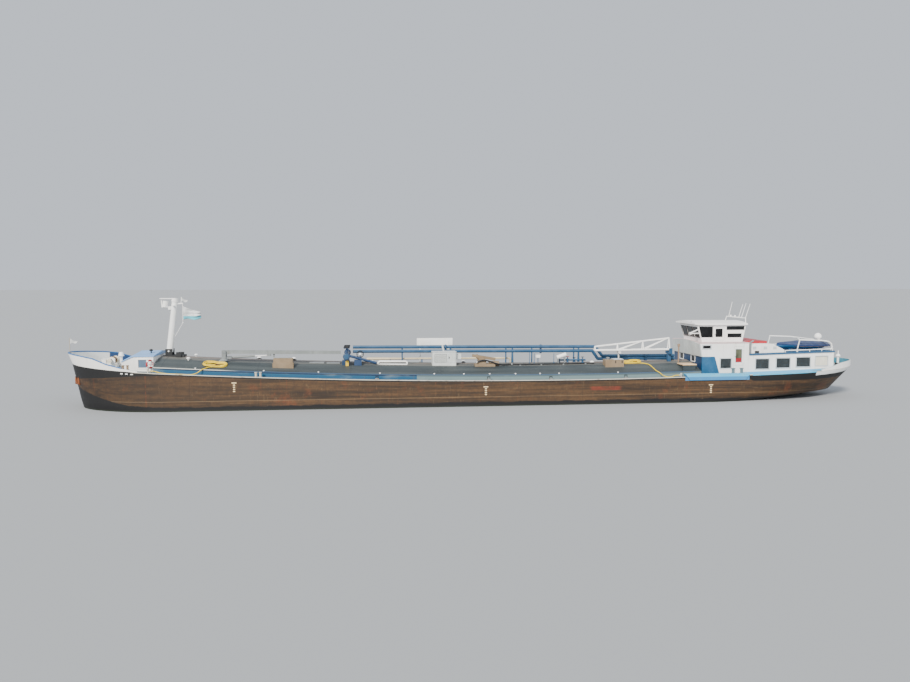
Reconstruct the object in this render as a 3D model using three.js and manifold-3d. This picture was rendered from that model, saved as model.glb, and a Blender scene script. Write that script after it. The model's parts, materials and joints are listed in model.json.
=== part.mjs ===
// Inland tank barge, empty and afloat, as a 1:2 scale model
// Frame: +X to the bow, +Y to port, +Z up, origin on the keel below the middle of the hull.
// Every size below is a real size of the full-size barge in metres; M turns it into model millimetres.
import * as THREE from 'three';
import { mergeVertices } from 'three/addons/utils/BufferGeometryUtils.js';
import Module from 'manifold-3d';

const wasm = await Module();
wasm.setup();

// Driving dimensions of the full-size barge, in metres
const M = 500; // model millimetres for one full-size metre
const LENGTH = 55; // stem head to stern
const BEAM = 6.6;
const DRAUGHT = 0.9; // empty, so the waterline is this far above the keel
const GAP = 0.0006; // clearance between pieces that touch
const TRUNK_SIDE = 2.6; // half-width of the tank deck trunk
const HOUSE_SIDE = 2.45; // half-width of the aft house
const WALL = 0.08; // thickness of the house walls
const SHEER = { low: 1.65, at: 32.5, fore: 0.00112, aft: 0.00095 }; // deck edge above water
const TRUNK = { from: 6.0, to: 42.5 }; // stations of the trunk's ends
// half-width against height above the side deck, from the coaming's foot to the crown
const TRUNK_SECTION = [[TRUNK_SIDE, 0], [TRUNK_SIDE, 0.33], [1.4, 0.74], [0, 0.9]];

// Places: s is metres aft of the stem head, y metres to port, h metres above the water
const point = (s, y, h) => new THREE.Vector3((LENGTH / 2 - s) * M, y * M, (h + DRAUGHT) * M);

function sheer(s) {
  const k = s < SHEER.at ? SHEER.fore : SHEER.aft;
  return SHEER.low + k * (s - SHEER.at) ** 2;
}

// Height of the faceted sheer line between two rows of stations
function facetedSheer(s, list) {
  const i = Math.max(1, list.findIndex((at) => at >= s));
  const [s0, s1] = [list[i - 1], list[i]];
  return sheer(s0) + (sheer(s1) - sheer(s0)) * (s - s0) / (s1 - s0);
}

const TRUNK_STATIONS = Array.from({ length: 13 }, (_, i) => TRUNK.from + (TRUNK.to - TRUNK.from) * i / 12);

function trunkTop(s, y) {
  const away = Math.abs(y);
  const foot = facetedSheer(s, TRUNK_STATIONS);
  const i = away <= TRUNK_SECTION[2][0] ? 3 : 2;
  const [[y0, h0], [y1, h1]] = [TRUNK_SECTION[i], TRUNK_SECTION[i - 1]];
  return foot + h0 + (h1 - h0) * (away - y0) / (y1 - y0);
}

// Solid helpers: geometry to a solid, and a solid back to geometry
function solid(geometry) {
  const bare = geometry.clone();
  for (const name of Object.keys(bare.attributes)) {
    if (name !== 'position') bare.deleteAttribute(name);
  }
  const merged = mergeVertices(bare, 1e-3);
  const index = merged.index.array;
  const keep = [];
  for (let i = 0; i < index.length; i += 3) {
    const [a, b, c] = [index[i], index[i + 1], index[i + 2]];
    if (a !== b && b !== c && a !== c) keep.push(a, b, c);
  }
  return new wasm.Manifold(new wasm.Mesh({
    numProp: 3,
    vertProperties: new Float32Array(merged.attributes.position.array),
    triVerts: new Uint32Array(keep),
  }));
}

function geometryOf(body) {
  const mesh = body.getMesh();
  const geometry = new THREE.BufferGeometry();
  geometry.setAttribute('position', new THREE.BufferAttribute(new Float32Array(mesh.vertProperties), 3));
  geometry.setIndex(new THREE.BufferAttribute(new Uint32Array(mesh.triVerts), 1));
  return geometry;
}

const fuse = (...shapes) => geometryOf(shapes.map(solid).reduce((a, b) => a.add(b)));
const common = (a, b) => geometryOf(solid(a).intersect(solid(b)));
const cut = (shape, ...tools) => geometryOf(tools.map(solid).reduce((a, b) => a.subtract(b), solid(shape)));

// A closed skin over a row of loops with equal numbers of points; the end loops are capped like ladders
function loft(loops) {
  const n = loops[0].length;
  const positions = loops.flat().flatMap((p) => [p.x, p.y, p.z]);
  const index = [];
  for (let k = 0; k + 1 < loops.length; k++) {
    for (let i = 0; i < n; i++) {
      const [a, b] = [k * n + i, k * n + (i + 1) % n];
      index.push(a, b, b + n, a, b + n, a + n);
    }
  }
  const ladder = (base, flip) => {
    for (let i = 0, j = n - 1; i < j; i++, j--) {
      const quad = [[base + i, base + i + 1, base + j], [base + i + 1, base + j - 1, base + j]];
      for (const t of quad) {
        if (new Set(t).size === 3) index.push(...(flip ? t.reverse() : t));
      }
    }
  };
  ladder(0, true);
  ladder((loops.length - 1) * n, false);
  const geometry = new THREE.BufferGeometry();
  geometry.setAttribute('position', new THREE.Float32BufferAttribute(positions, 3));
  geometry.setIndex(index);
  if (volume(geometry) < 0) geometry.setIndex(index.reverse());
  return geometry;
}

function volume(geometry) {
  const at = geometry.attributes.position;
  const index = geometry.index.array;
  const [a, b, c] = [new THREE.Vector3(), new THREE.Vector3(), new THREE.Vector3()];
  let sum = 0;
  for (let i = 0; i < index.length; i += 3) {
    a.fromBufferAttribute(at, index[i]);
    b.fromBufferAttribute(at, index[i + 1]);
    c.fromBufferAttribute(at, index[i + 2]);
    sum += a.dot(b.cross(c));
  }
  return sum;
}

// A block between two stations, two sides and two heights
function block(s0, s1, y0, y1, h0, h1) {
  const low = point(s1, y0, h0);
  const high = point(s0, y1, h1);
  const size = high.clone().sub(low);
  const centre = high.add(low).multiplyScalar(0.5);
  return new THREE.BoxGeometry(size.x, size.y, size.z).translate(centre.x, centre.y, centre.z);
}

// A round bar between two places, with its radii in metres
function bar(a, b, r0, r1 = r0, sides = 10) {
  const along = b.clone().sub(a);
  const shape = new THREE.CylinderGeometry(r1 * M, r0 * M, along.length(), sides);
  const turn = new THREE.Quaternion().setFromUnitVectors(new THREE.Vector3(0, 1, 0),
    along.clone().normalize());
  const middle = a.clone().add(b).multiplyScalar(0.5);
  return shape.applyQuaternion(turn).translate(middle.x, middle.y, middle.z);
}

// A flat bar between two places in one fore-and-aft plane, deep upright and wide across
function plank(a, b, wide, deep) {
  const along = b.clone().sub(a);
  const shape = new THREE.BoxGeometry(along.length(), wide * M, deep * M);
  const tilt = Math.atan2(along.z, Math.hypot(along.x, along.y));
  const heading = Math.atan2(along.y, along.x);
  shape.rotateY(-tilt).rotateZ(heading);
  const middle = a.clone().add(b).multiplyScalar(0.5);
  return shape.translate(middle.x, middle.y, middle.z);
}

const ROUND = 20; // sides of a pin or a bore that turns
// A pin across the barge at a place, and the bore that it runs in
const pinAcross = (s, y, h, r, half) => bar(point(s, y - half, h), point(s, y + half, h), r, r, ROUND);
const boreAcross = (s, y, h, r) => pinAcross(s, y, h, (r + GAP) / Math.cos(Math.PI / ROUND), 0.8);

const ball = (s, y, h, r, rings = 6) =>
  new THREE.SphereGeometry(r * M, 10, rings).translate(...point(s, y, h).toArray());

// A flat panel in the XY plane with its openings cut through
function panel(corners, holes, thick) {
  const prism = (loop, from, to) => {
    const outline = loop.map(([u, v]) => new THREE.Vector2(u, v));
    if (THREE.ShapeUtils.isClockWise(outline)) outline.reverse();
    const depth = (to - from) * M;
    return new THREE.ExtrudeGeometry(new THREE.Shape(outline),
      { depth, bevelEnabled: false }).translate(0, 0, from * M);
  };
  const sheet = prism(corners, 0, thick);
  return holes.length ? cut(sheet, ...holes.map((hole) => prism(hole, -0.02, thick + 0.02))) : sheet;
}

const windowHole = ([a0, a1, h0, h1]) => [[a0, h0], [a1, h0], [a1, h1], [a0, h1]];

// A wall in the fore-and-aft plane; its outer face is at y on the side away from the middle
function sideWall(corners, holes, y, thick = WALL) {
  const place = ([s, h]) => [(LENGTH / 2 - s) * M, (h + DRAUGHT) * M];
  const wall = panel(corners.map(place), holes.map((hole) => hole.map(place)), thick);
  return wall.rotateX(Math.PI / 2).translate(0, (y > 0 ? y : y + thick) * M, 0);
}

// A wall across the barge; its fore face is at station s before it leans
function crossWall(corners, holes, s, thick = WALL, lean = 0) {
  const foot = Math.min(...corners.map(([, h]) => h));
  const place = ([y, h]) => [y * M, (h - foot) * M];
  const wall = panel(corners.map(place), holes.map((hole) => hole.map(place)), thick);
  wall.rotateX(Math.PI / 2).rotateZ(Math.PI / 2).translate(-thick * M, 0, 0).rotateY(lean);
  return wall.translate(...point(s, 0, foot).toArray());
}

const STEEL = { roughness: 0.55, metalness: 0.1 };
const PAINT = {
  rust: { color: 0x5a4436, ...STEEL }, white: { color: 0xe8e8e4, ...STEEL },
  grey: { color: 0x8d9294, ...STEEL }, deck: { color: 0x59656b, roughness: 0.8 },
  blue: { color: 0x2f7fb0, ...STEEL }, navy: { color: 0x1f3f6b, ...STEEL },
  pale: { color: 0x9fc6e6, ...STEEL }, red: { color: 0xc22c38, ...STEEL },
  beige: { color: 0xb9ab98, ...STEEL }, dark: { color: 0x2b2f33, ...STEEL },
  orange: { color: 0x9c5a33, roughness: 0.9 }, brass: { color: 0xa9853f, metalness: 0.9, roughness: 0.4 },
  yellow: { color: 0xd8b93a, roughness: 0.6 }, cloth: { color: 0x2c4d86, roughness: 0.95 }, flag:
    { color: 0xf2f4f4, roughness: 0.9 },
};

const barge = new THREE.Group();

function add(name, geometry, paint, group = barge) {
  const mesh = new THREE.Mesh(geometry, new THREE.MeshStandardMaterial(PAINT[paint]));
  mesh.name = name;
  group.add(mesh);
  return mesh;
}

// Hull form: each row is a level with the station of its fore end, the length of its fore body and
// the fullness there, then the same for the after body, its half-width and its height above water.
// The height 'deck' follows the sheer.
const LEVELS = [
  { fore: 2.5, entry: 6.5, bow: 0.6, aft: 47.6, run: 8, stern: 0.9, half: 3.1, h: -0.9 },
  { fore: 1.7, entry: 6.2, bow: 0.58, aft: 48.6, run: 8, stern: 0.85, half: 3.3, h: -0.72 },
  { fore: 0.9, entry: 6.0, bow: 0.55, aft: 49.8, run: 8, stern: 0.6, half: 3.3, h: 0 },
  { fore: 0.75, entry: 6.0, bow: 0.57, aft: 53.4, run: 8, stern: 0.6, half: 3.3, h: 0.5 },
  { fore: 0.25, entry: 6.0, bow: 0.62, aft: 55, run: 6, stern: 0.62, half: 3.3, h: 'deck' },
];
const CURVED_STEPS = 9;
const STRAIGHT_STEPS = 12;

function halfBreadth(level, s) {
  const fore = THREE.MathUtils.clamp((level.fore + level.entry - s) / level.entry, 0, 1);
  const aft = THREE.MathUtils.clamp((s - level.aft + level.run) / level.run, 0, 1);
  return level.half * (1 - fore ** 2) ** level.bow * (1 - aft ** 2) ** level.stern;
}

// Stations of one level's outline from its fore end to its after end
function stations(level) {
  const list = [];
  for (let i = 0; i < CURVED_STEPS; i++) {
    list.push(level.fore + level.entry * (1 - Math.cos(i / CURVED_STEPS * Math.PI / 2)));
  }
  const [s0, s1] = [level.fore + level.entry, level.aft - level.run];
  for (let i = 0; i <= STRAIGHT_STEPS; i++) list.push(s0 + (s1 - s0) * i / STRAIGHT_STEPS);
  for (let i = 1; i <= CURVED_STEPS; i++) {
    list.push(level.aft - level.run + level.run * Math.sin(i / CURVED_STEPS * Math.PI / 2));
  }
  return list;
}

// A level's closed loop, moved in from the side by a margin and raised by a rise
function ring(level, inset = 0, rise = 0) {
  const port = stations(level).map((s) => {
    const height = level.h === 'deck' ? sheer(s) : level.h;
    const y = Math.max(halfBreadth(level, s) - inset, 0);
    const middle = (level.fore + level.aft) / 2;
    const pull = y === 0 ? Math.sign(middle - s) * inset : 0;
    return point(s + pull, y, height + rise);
  });
  const starboard = port.slice(1, -1).reverse().map((p) => new THREE.Vector3(p.x, -p.y, p.z));
  return [...port, ...starboard];
}

const DECK = LEVELS[LEVELS.length - 1];
const EDGE = { wide: 0.1, high: 0.05 }; // the bar round the deck's edge
const PLATE = { from: 41.08, to: 45.64, low: 1.54, high: 1.95, out: 0.1, slant: 0.28 }; // side platform
const BOW_JOINT = 6.05; // station where the bow section meets the rest of the hull
const BOW_BOLLARD = { s: 4.35, y: 2.75, high: 0.42 };
// station, distance from the middle and height of the posts, then their spread and radius
const BOLLARDS = [
  { s: 12.6, y: 2.95, high: 0.34, half: 0.14, r: 0.07 }, { s: 44.89, y: 3.05, high: 0.51, half: 0.3, r:
    0.1 },
];
const HYDRANTS = [{ s: 5.75, y: 2.85, aft: 1 }, { s: 40.95, y: 2.85, aft: -1 }]; // where the hoses start
const HYDRANT = { r: 0.045, rise: 0.12, reach: 0.16 };

const SHAFT = { s: 50.1, h: -0.3 }; // the screw's place on the shaft

const deckAt = (s) => facetedSheer(s, stations(DECK));

function bollardPair(s, y, high, half = 0.14, r = 0.07) {
  const foot = deckAt(s);
  const posts = [-half, half].map((ds) => bar(point(s + ds, y, foot - 0.05),
    point(s + ds, y, foot + high), r));
  const caps = [-half, half].map((ds) =>
    bar(point(s + ds, y, foot + high - 0.05), point(s + ds, y, foot + high), r * 1.4));
  const long = half + r + 0.05;
  return [...posts, ...caps, block(s - long, s + long, y - 0.11, y + 0.11, foot - 0.05, foot + 0.03)];
}

function hydrant({ s, y, aft }) {
  const foot = deckAt(s);
  const { r, rise, reach } = HYDRANT;
  const neck = bar(point(s, y, foot - 0.05), point(s, y, foot + rise + 0.1), r, r);
  const cap = bar(point(s, y, foot + rise + 0.08), point(s, y, foot + rise + 0.14), r * 1.6, r * 1.6);
  return [neck, cap, bar(point(s, y, foot + rise), point(s + aft * reach, y, foot + rise), r, r)];
}

function hull() {
  const outer = LEVELS.map((level) => ring(level));
  const edge = [ring(DECK, 0, EDGE.high), ring(DECK, EDGE.wide, EDGE.high), ring(DECK, EDGE.wide, 0)];
  const extras = HYDRANTS.flatMap(hydrant);
  for (const side of [1, -1]) {
    for (const { s, y, high, half, r } of BOLLARDS) extras.push(...bollardPair(s, side * y, high, half, r));
    const { from, to, low, high, out, slant } = PLATE;
    const face = [[from, high], [to, high], [to - slant, low], [from + slant, low]];
    extras.push(sideWall(face, [], side * (BEAM / 2 + out), 0.45 + out));
  }
  const skeg = sideWall([[46, -0.88], [50.05, -0.88], [50.05, -0.55], [50.05, 0.3], [46, 0.3]], [],
    0.09, 0.18);
  const boss = bar(point(46, 0, -0.3), point(50.1, 0, -0.3), 0.15, 0.13, 12);
  const tunnel = bar(point(49.2, 0, SHAFT.h), point(52.6, 0, SHAFT.h), 0.66, 0.66, 20);
  return fuse(cut(loft([...outer, ...edge]), tunnel), skeg, boss, ...extras);
}
const wholeHull = solid(hull());
const bowBlock = solid(block(-1, BOW_JOINT - GAP / 2, -4, 4, -2, 5));
const aftBlock = solid(block(BOW_JOINT + GAP / 2, LENGTH + 1, -4, 4, -2, 5));
const ANCHOR = { s: 0.8, h: 1.75, y: 0.82 };
function anchor(side) {
  const { s, h, y } = ANCHOR;
  const at = (ds, dy, dh) => point(s + ds, side * (y + dy), h + dh);
  const shank = bar(at(0.1, 0.1, 0.42), at(-0.05, 0.04, -0.1), 0.05, 0.05, 8);
  const crown = bar(at(-0.2, -0.26, -0.14), at(0.2, 0.26, -0.14), 0.07, 0.07, 8);
  const flukes = [[-0.17, -0.22], [0.15, 0.2]].map(([ds, dy]) =>
    bar(at(ds, dy, -0.14), at(ds - 0.03, dy + 0.06, 0.3), 0.07, 0.03, 8));
  return fuse(shank, crown, ...flukes);
}
// The anchors are stowed hard against the bow, one each side
const bow = wholeHull.intersect(bowBlock).add(solid(anchor(1))).add(solid(anchor(-1)));
add('hull_bow', geometryOf(bow), 'rust');
add('hull', geometryOf(wholeHull.intersect(aftBlock)), 'rust');

// Steering gear and screw under the counter
function propeller() {
  const hub = bar(point(SHAFT.s + GAP, 0, SHAFT.h), point(SHAFT.s + 0.36, 0, SHAFT.h), 0.12, 0.08, 12);
  const blades = [0, 1, 2, 3].map((k) => {
    const shape = new THREE.Shape();
    shape.moveTo(-0.05 * M, 0.05 * M);
    shape.quadraticCurveTo(-0.24 * M, 0.3 * M, -0.1 * M, 0.5 * M);
    shape.quadraticCurveTo(0.02 * M, 0.56 * M, 0.14 * M, 0.48 * M);
    shape.quadraticCurveTo(0.22 * M, 0.26 * M, 0.05 * M, 0.05 * M);
    const blade = new THREE.ExtrudeGeometry(shape, { depth: 0.03 * M, bevelEnabled: false,
      curveSegments: 4 });
    blade.translate(0, 0, -0.015 * M).rotateY(0.6).rotateZ(k * Math.PI / 2);
    blade.rotateX(Math.PI / 2).rotateZ(Math.PI / 2);
    return blade.translate(...point(SHAFT.s + 0.19, 0, SHAFT.h).toArray());
  });
  return fuse(hub, ...blades);
}
add('propeller', propeller(), 'brass');

const RUDDER = { stock: 51.35, fore: 50.75, aft: 52.35, low: -0.86, high: 0, head: 0.9 };
function rudder() {
  const { stock, fore, aft, low, high } = RUDDER;
  const blade = sideWall([[fore, low], [aft, low], [aft, high - 0.12], [fore, high]], [], 0.05, 0.1);
  return fuse(blade, bar(point(stock, 0, low + 0.1), point(stock, 0, RUDDER.head), 0.08, 0.08, ROUND));
}
const stockBore = (0.08 + GAP) / Math.cos(Math.PI / ROUND);
const stockHole = bar(point(RUDDER.stock, 0, -0.5), point(RUDDER.stock, 0, RUDDER.head + GAP),
  stockBore, stockBore, ROUND);
const hullMesh = barge.getObjectByName('hull');
hullMesh.geometry = cut(hullMesh.geometry, stockHole);
add('rudder', rudder(), 'rust');

// Bulwarks at bow and stern: the rail's height over the deck edge against the station
const BOW_RAIL = [[0, 0.78], [1.2, 0.74], [2.3, 0.7], [2.75, 0.5], [3.6, 0.32], [4.8, 0.12]];
const STERN_RAIL = [[50.6, 0.1], [51.4, 0.15], [52.05, 0.25], [52.45, 0.4], [53.2, 0.47], [54.2, 0.46],
  [55, 0.42]];
const RAIL_FLARE = 0.25; // how far the rail leans out past the deck edge at the very end
const BULWARK = 0.07;

function railHeight(table, s) {
  for (let i = 0; i + 1 < table.length; i++) {
    const [[s0, h0], [s1, h1]] = [table[i], table[i + 1]];
    if (s <= s1) return h0 + (h1 - h0) * Math.max(0, s - s0) / (s1 - s0);
  }
  return table[table.length - 1][1];
}

// One side's stations give cross-sections; the other side mirrors them
function bulwark(table, atBow) {
  const foot = EDGE.high + GAP;
  const list = stations(DECK).filter((s) => (atBow ? s <= 5.3 : s >= 50.4));
  if (!atBow) list.reverse();
  const side = list.map((s) => {
    const flare = atBow ? RAIL_FLARE * Math.max(0, 1 - (s - DECK.fore) / 4.5) : 0;
    const y = halfBreadth(DECK, s);
    const top = Math.max(railHeight(table, s), foot + 0.03);
    const outFoot = point(s, y, sheer(s) + foot);
    const outTop = point(s - flare, y === 0 ? 0 : y + flare * 0.35, sheer(s) + top);
    return { s, y, outFoot, outTop };
  });
  const inward = (p, next, sign) => {
    const along = next.clone().sub(p).setZ(0).normalize();
    return new THREE.Vector3(sign * along.y, -sign * along.x, 0).multiplyScalar(BULWARK * M);
  };
  const sections = [];
  for (let i = side.length - 1; i > 0; i--) {
    const turn = inward(side[i].outFoot, side[i - 1].outFoot, atBow ? 1 : -1);
    sections.push([side[i].outFoot, side[i].outTop, side[i].outTop.clone().add(turn),
      side[i].outFoot.clone().add(turn)]);
  }
  const tip = side[0];
  const back = new THREE.Vector3((atBow ? -1 : 1) * BULWARK * 1.3 * M, 0, 0);
  const nose = [tip.outFoot, tip.outTop, tip.outTop.clone().add(back), tip.outFoot.clone().add(back)];
  const mirror = (section) => section.map((p) => new THREE.Vector3(p.x, -p.y, p.z));
  return loft([...sections, nose, ...sections.map(mirror).reverse()]);
}
// The bow's bollards and the jackstaff are fused to its bulwark
const STEM_TOP = sheer(DECK.fore) + railHeight(BOW_RAIL, DECK.fore);
const JACK = { s: 0.06, foot: STEM_TOP - 0.05, top: 4.54, r: 0.02 };
function bowBulwark() {
  const { s, y, high } = BOW_BOLLARD;
  const feet = [1, -1].flatMap((side) => [...bollardPair(s, side * y, high),
    block(s - 0.26, s + 0.26, ...(side > 0 ? [y, 3.0] : [-3.0, -y]), deckAt(s) + 0.07, deckAt(s) + 0.15)]);
  const staff = bar(point(JACK.s, 0, JACK.foot), point(JACK.s, 0, JACK.top), JACK.r, JACK.r, 12);
  return seatOnDeck(fuse(bulwark(BOW_RAIL, true), ...feet, staff));
}
const hullTool = solid(loft([ring(DECK, -0.2, -1.2), ring(DECK, -0.2, GAP)]));
const seatOnDeck = (geometry) => geometryOf(solid(geometry).subtract(hullTool));
add('bow_bulwark', bowBulwark(), 'white');
add('stern_bulwark', bulwark(STERN_RAIL, false), 'white');

// The trunk over the tanks: a cambered deck between low coamings
function trunkLoops(rise = 0, overrun = 0) {
  const ends = TRUNK_STATIONS.length - 1;
  return TRUNK_STATIONS.map((at, i) => {
    const s = at + (i === 0 ? -overrun : 0) + (i === ends ? overrun : 0);
    const half = TRUNK_SECTION.map(([y, h], k) => point(s, y, sheer(at) + (k === 0 ? -0.1 : h + rise)));
    const other = half.slice(0, -1).reverse().map((p) => new THREE.Vector3(p.x, -p.y, p.z));
    return [...half, ...other];
  });
}

// What stands on the trunk or the side deck is trimmed to the surface that carries it
const trunkTool = solid(loft(trunkLoops(GAP, 0.001)));
const seatOnTrunk = (geometry) => geometryOf(solid(geometry).subtract(trunkTool));
const trunkDeck = add('trunk_deck', seatOnDeck(loft(trunkLoops())), 'deck');
function fuseToTrunk(geometry) {
  trunkDeck.geometry = fuse(trunkDeck.geometry, geometry);
}

// Fore house: low walls with a curved top and a pale roof that slopes down ahead
const FORE = { from: 3.95, to: 5.9, side: 2.1, top: 3.42, crown: 3.66, nose: 3.1, slope: 4.65, wall: 0.07 };
function foreWalls() {
  const { from, to, side, top, nose, slope, wall } = FORE;
  const low = sheer(to) - 0.1;
  const sides = [1, -1].map((k) => sideWall([[from, low], [to, low], [to, top], [slope, top], [from, nose]],
    [windowHole([4.95, 5.5, 2.7, 3.25])], k * side, wall));
  const ends = [[from, nose], [to - wall, top]].map(([s, high]) => block(s, s + wall, -side, side, low,
    high));
  return seatOnDeck(fuse(...sides, ...ends));
}
function foreRoof() {
  const { from, to, side, top, crown, nose, slope } = FORE;
  const over = 0.05;
  const section = (s, edge, rise) => [
    point(s, side + over, edge + GAP), point(s, side + over, edge + 0.05), point(s, 0, edge + 0.05 + rise),
    point(s, -side - over, edge + 0.05), point(s, -side - over, edge + GAP), point(s, 0, edge + GAP)];
  return loft([section(from - over, nose - 0.02, 0.1), section(slope, top, crown - top - 0.05),
    section(to + over, top, crown - top - 0.05)]);
}
add('fore_house_walls', foreWalls(), 'white');
add('fore_house_roof', foreRoof(), 'pale');

// Anchor windlass on the foredeck
const WINDLASS = { s: 2.82, h: 3.05, half: 0.55 };
function windlassFrame() {
  const { s, h, half } = WINDLASS;
  const cheeks = [1, -1].map((k) => block(s - 0.25, s + 0.25, k * half - 0.06, k * half + 0.06,
    sheer(s) - 0.1, h + 0.14));
  const bed = block(s - 0.4, s + 0.36, -half - 0.06, half + 0.06, sheer(s) - 0.1, sheer(s) + 0.08);
  return seatOnDeck(cut(fuse(...cheeks, bed), boreAcross(s, 0, h, 0.06)));
}
function windlassDrum() {
  const { s, h, half } = WINDLASS;
  const shaft = pinAcross(s, 0, h, 0.06, half + 0.42);
  const barrel = bar(point(s, -half + 0.06 + GAP, h), point(s, half - 0.06 - GAP, h), 0.16, 0.16, 14);
  const rims = [-half + 0.1, 0, half - 0.14].map((y) => bar(point(s, y, h), point(s, y + 0.04, h),
    0.24, 0.24, 14));
  const ends = [1, -1].map((k) => bar(point(s, k * (half + 0.14), h), point(s, k * (half + 0.4), h),
    0.12, 0.15, 14));
  const rope = bar(point(s, 0.02, h), point(s, half - 0.12, h), 0.21, 0.21, 14);
  return fuse(shaft, barrel, ...rims, ...ends, rope);
}
add('windlass_frame', windlassFrame(), 'white');
add('windlass_drum', windlassDrum(), 'grey');

function mushroomVent() {
  const [s, y, top] = [3.31, 0, 3.56];
  const neck = bar(point(s, y, sheer(s) - 0.1), point(s, y, top), 0.09, 0.09, 12);
  const cap = bar(point(s, y, top - 0.26), point(s, y, top), 0.2, 0.12, 12);
  return seatOnDeck(fuse(neck, cap));
}
add('bow_vent', mushroomVent(), 'white');

// Folding signal mast: a stand with a winch, and the mast with its head on one hinge
const MAST = { s: 6.45, pin: 3.62, top: 6.92, lean: 0.121, foot: 0.22, head: 0.19 };
const HALYARD = { s: 7.34, r: 0.014 };
const MAST_HALF = 0.3; // half-distance between the stand's cheeks
const mastAt = (up, ahead = 0, y = 0) => {
  const s = MAST.s + up * Math.tan(MAST.lean) - ahead;
  return point(s, y, MAST.pin + up);
};
function mastStand() {
  const { s, pin } = MAST;
  const cheeks = [1, -1].map((k) =>
    block(s - 0.22, s + 0.22, k * MAST_HALF - 0.05, k * MAST_HALF + 0.05, sheer(s) + 0.6, pin + 0.14));
  const bed = block(s - 0.32, s + 1.0, -MAST_HALF - 0.12, MAST_HALF + 0.12, sheer(s) + 0.6,
    sheer(s) + 0.94);
  const winch = bar(point(s + 0.66, -0.42, 3.28), point(s + 0.66, 0.42, 3.28), 0.15, 0.15, 12);
  const gearbox = block(s + 0.5, s + 0.82, 0.28, 0.5, sheer(s) + 0.6, 3.55);
  const stand = block(s + 0.5, s + 0.82, -0.5, -0.28, sheer(s) + 0.6, 3.5);
  return seatOnTrunk(cut(fuse(...cheeks, bed, winch, gearbox, stand), boreAcross(s, 0, pin, 0.05)));
}
function mast() {
  const { s, pin, top, foot, head } = MAST;
  const rise = top - pin;
  const pole = bar(mastAt(-0.06), mastAt(rise), foot, head, 12);
  const pivot = pinAcross(s, 0, pin, 0.05, MAST_HALF + 0.08);
  const hub = pinAcross(s, 0, pin, 0.12, MAST_HALF - 0.05 - GAP);
  const bracketLow = plank(mastAt(rise - 0.37, 0.81), mastAt(rise - 0.37, 0), 0.1, 0.06);
  const post = plank(mastAt(rise - 0.37, 0.78), mastAt(rise + 0.19, 0.9), 0.06, 0.06);
  const bracketHigh = plank(mastAt(rise + 0.19, 0.97), mastAt(rise + 0.19, -0.05), 0.3, 0.05);
  const lamp = bar(mastAt(rise - 0.37, 0.6), mastAt(rise + 0.03, 0.6), 0.17, 0.17, 12);
  const spar = plank(mastAt(rise - 0.16, 0), mastAt(rise - 0.13, -0.54), 0.08, 0.07);
  const crosstree = block(s + 0.33, s + 0.43, -0.6, 0.6, top - 0.34, top - 0.26);
  const cap = bar(mastAt(rise - 0.02), mastAt(rise + 0.2), 0.22, 0.22, 12);
  const staff = bar(mastAt(rise - 0.18, -0.41), mastAt(rise + 0.29, -0.41), 0.02, 0.02, 6);
  const line = [[HALYARD.s, top - 0.13], [HALYARD.s, 5.5], [6.62, 4.25]].map(([at, h]) => point(at, 0, h));
  const halyard = [bar(line[0], line[1], HALYARD.r, HALYARD.r, 12),
    bar(line[1], line[2], HALYARD.r, HALYARD.r, 6)];
  const knot = ball(HALYARD.s, 0, 5.5, 0.04);
  return fuse(pole, pivot, hub, bracketLow, post, bracketHigh, lamp, spar, crosstree, cap, staff,
    ...halyard, knot);
}
add('mast_stand', mastStand(), 'dark');
add('mast', mast(), 'white');

// Flag beside its halyard below the spar
const FLAG = { hoist: HALYARD.s + HALYARD.r + GAP, thick: 0.03 };
const flagCorners = [[FLAG.hoist, 6.62], [8.5, 6.23], [8.52, 5.76], [FLAG.hoist, 5.68]];
add('mast_flag', sideWall(flagCorners, [], FLAG.thick / 2, FLAG.thick), 'flag');

// Small pennant on the jackstaff
const pennantCorners = [[JACK.s + JACK.r + GAP, 4.5], [0.6, 4.28], [JACK.s + JACK.r + GAP, 4.1]];
add('bow_pennant', sideWall(pennantCorners, [], 0.01, 0.02), 'flag');

// Hydraulic deck crane, turned aft and lowered
const CRANE = { s: 10.2, y: 1.2, pin: 3.58, tip: 17.8, base: 3.12 };
const JIB = { root: 0.26, end: 0.2, half: 0.13, top: 3.72, tipTop: 3.6 };
const CYLINDER = { footS: 10.62, footH: 3.24, eyeS: 13.1, eyeH: 3.36, bore: 0.07, rod: 0.04, barrel: 1.55 };
function cranePedestal() {
  const { s, y, base } = CRANE;
  const flange = bar(point(s, y, base - 0.06), point(s, y, base), 0.26, 0.26, 14);
  return fuse(bar(point(s, y, 2.6), point(s, y, base - 0.03), 0.2, 0.2, 14), flange);
}
function cranePost() {
  const { s, y, pin, base } = CRANE;
  const turntable = bar(point(s, y, base + GAP), point(s, y, base + 0.07), 0.25, 0.25, 14);
  const cheeks = [1, -1].map((k) => block(s - 0.13, s + 0.13, y + k * 0.19 - 0.03, y + k * 0.19 + 0.03,
    base + 0.05, pin + 0.12));
  const column = block(s - 0.13, s + 0.13, y - 0.2, y + 0.2, base + 0.05, base + 0.2);
  const feet = [1, -1].map((k) =>
    block(s + 0.1, CYLINDER.footS + 0.07, y + k * 0.13 - 0.025, y + k * 0.13 + 0.025, base + 0.035,
      CYLINDER.footH + 0.07));
  const tray = block(s + 0.1, CYLINDER.footS - 0.16, y - 0.13, y + 0.13, base + 0.035, base + 0.1);
  const pins = [pinAcross(s, y, pin, 0.045, 0.24), pinAcross(CYLINDER.footS, y, CYLINDER.footH, 0.03,
    0.17)];
  return fuse(turntable, ...cheeks, column, ...feet, tray, ...pins);
}
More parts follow.
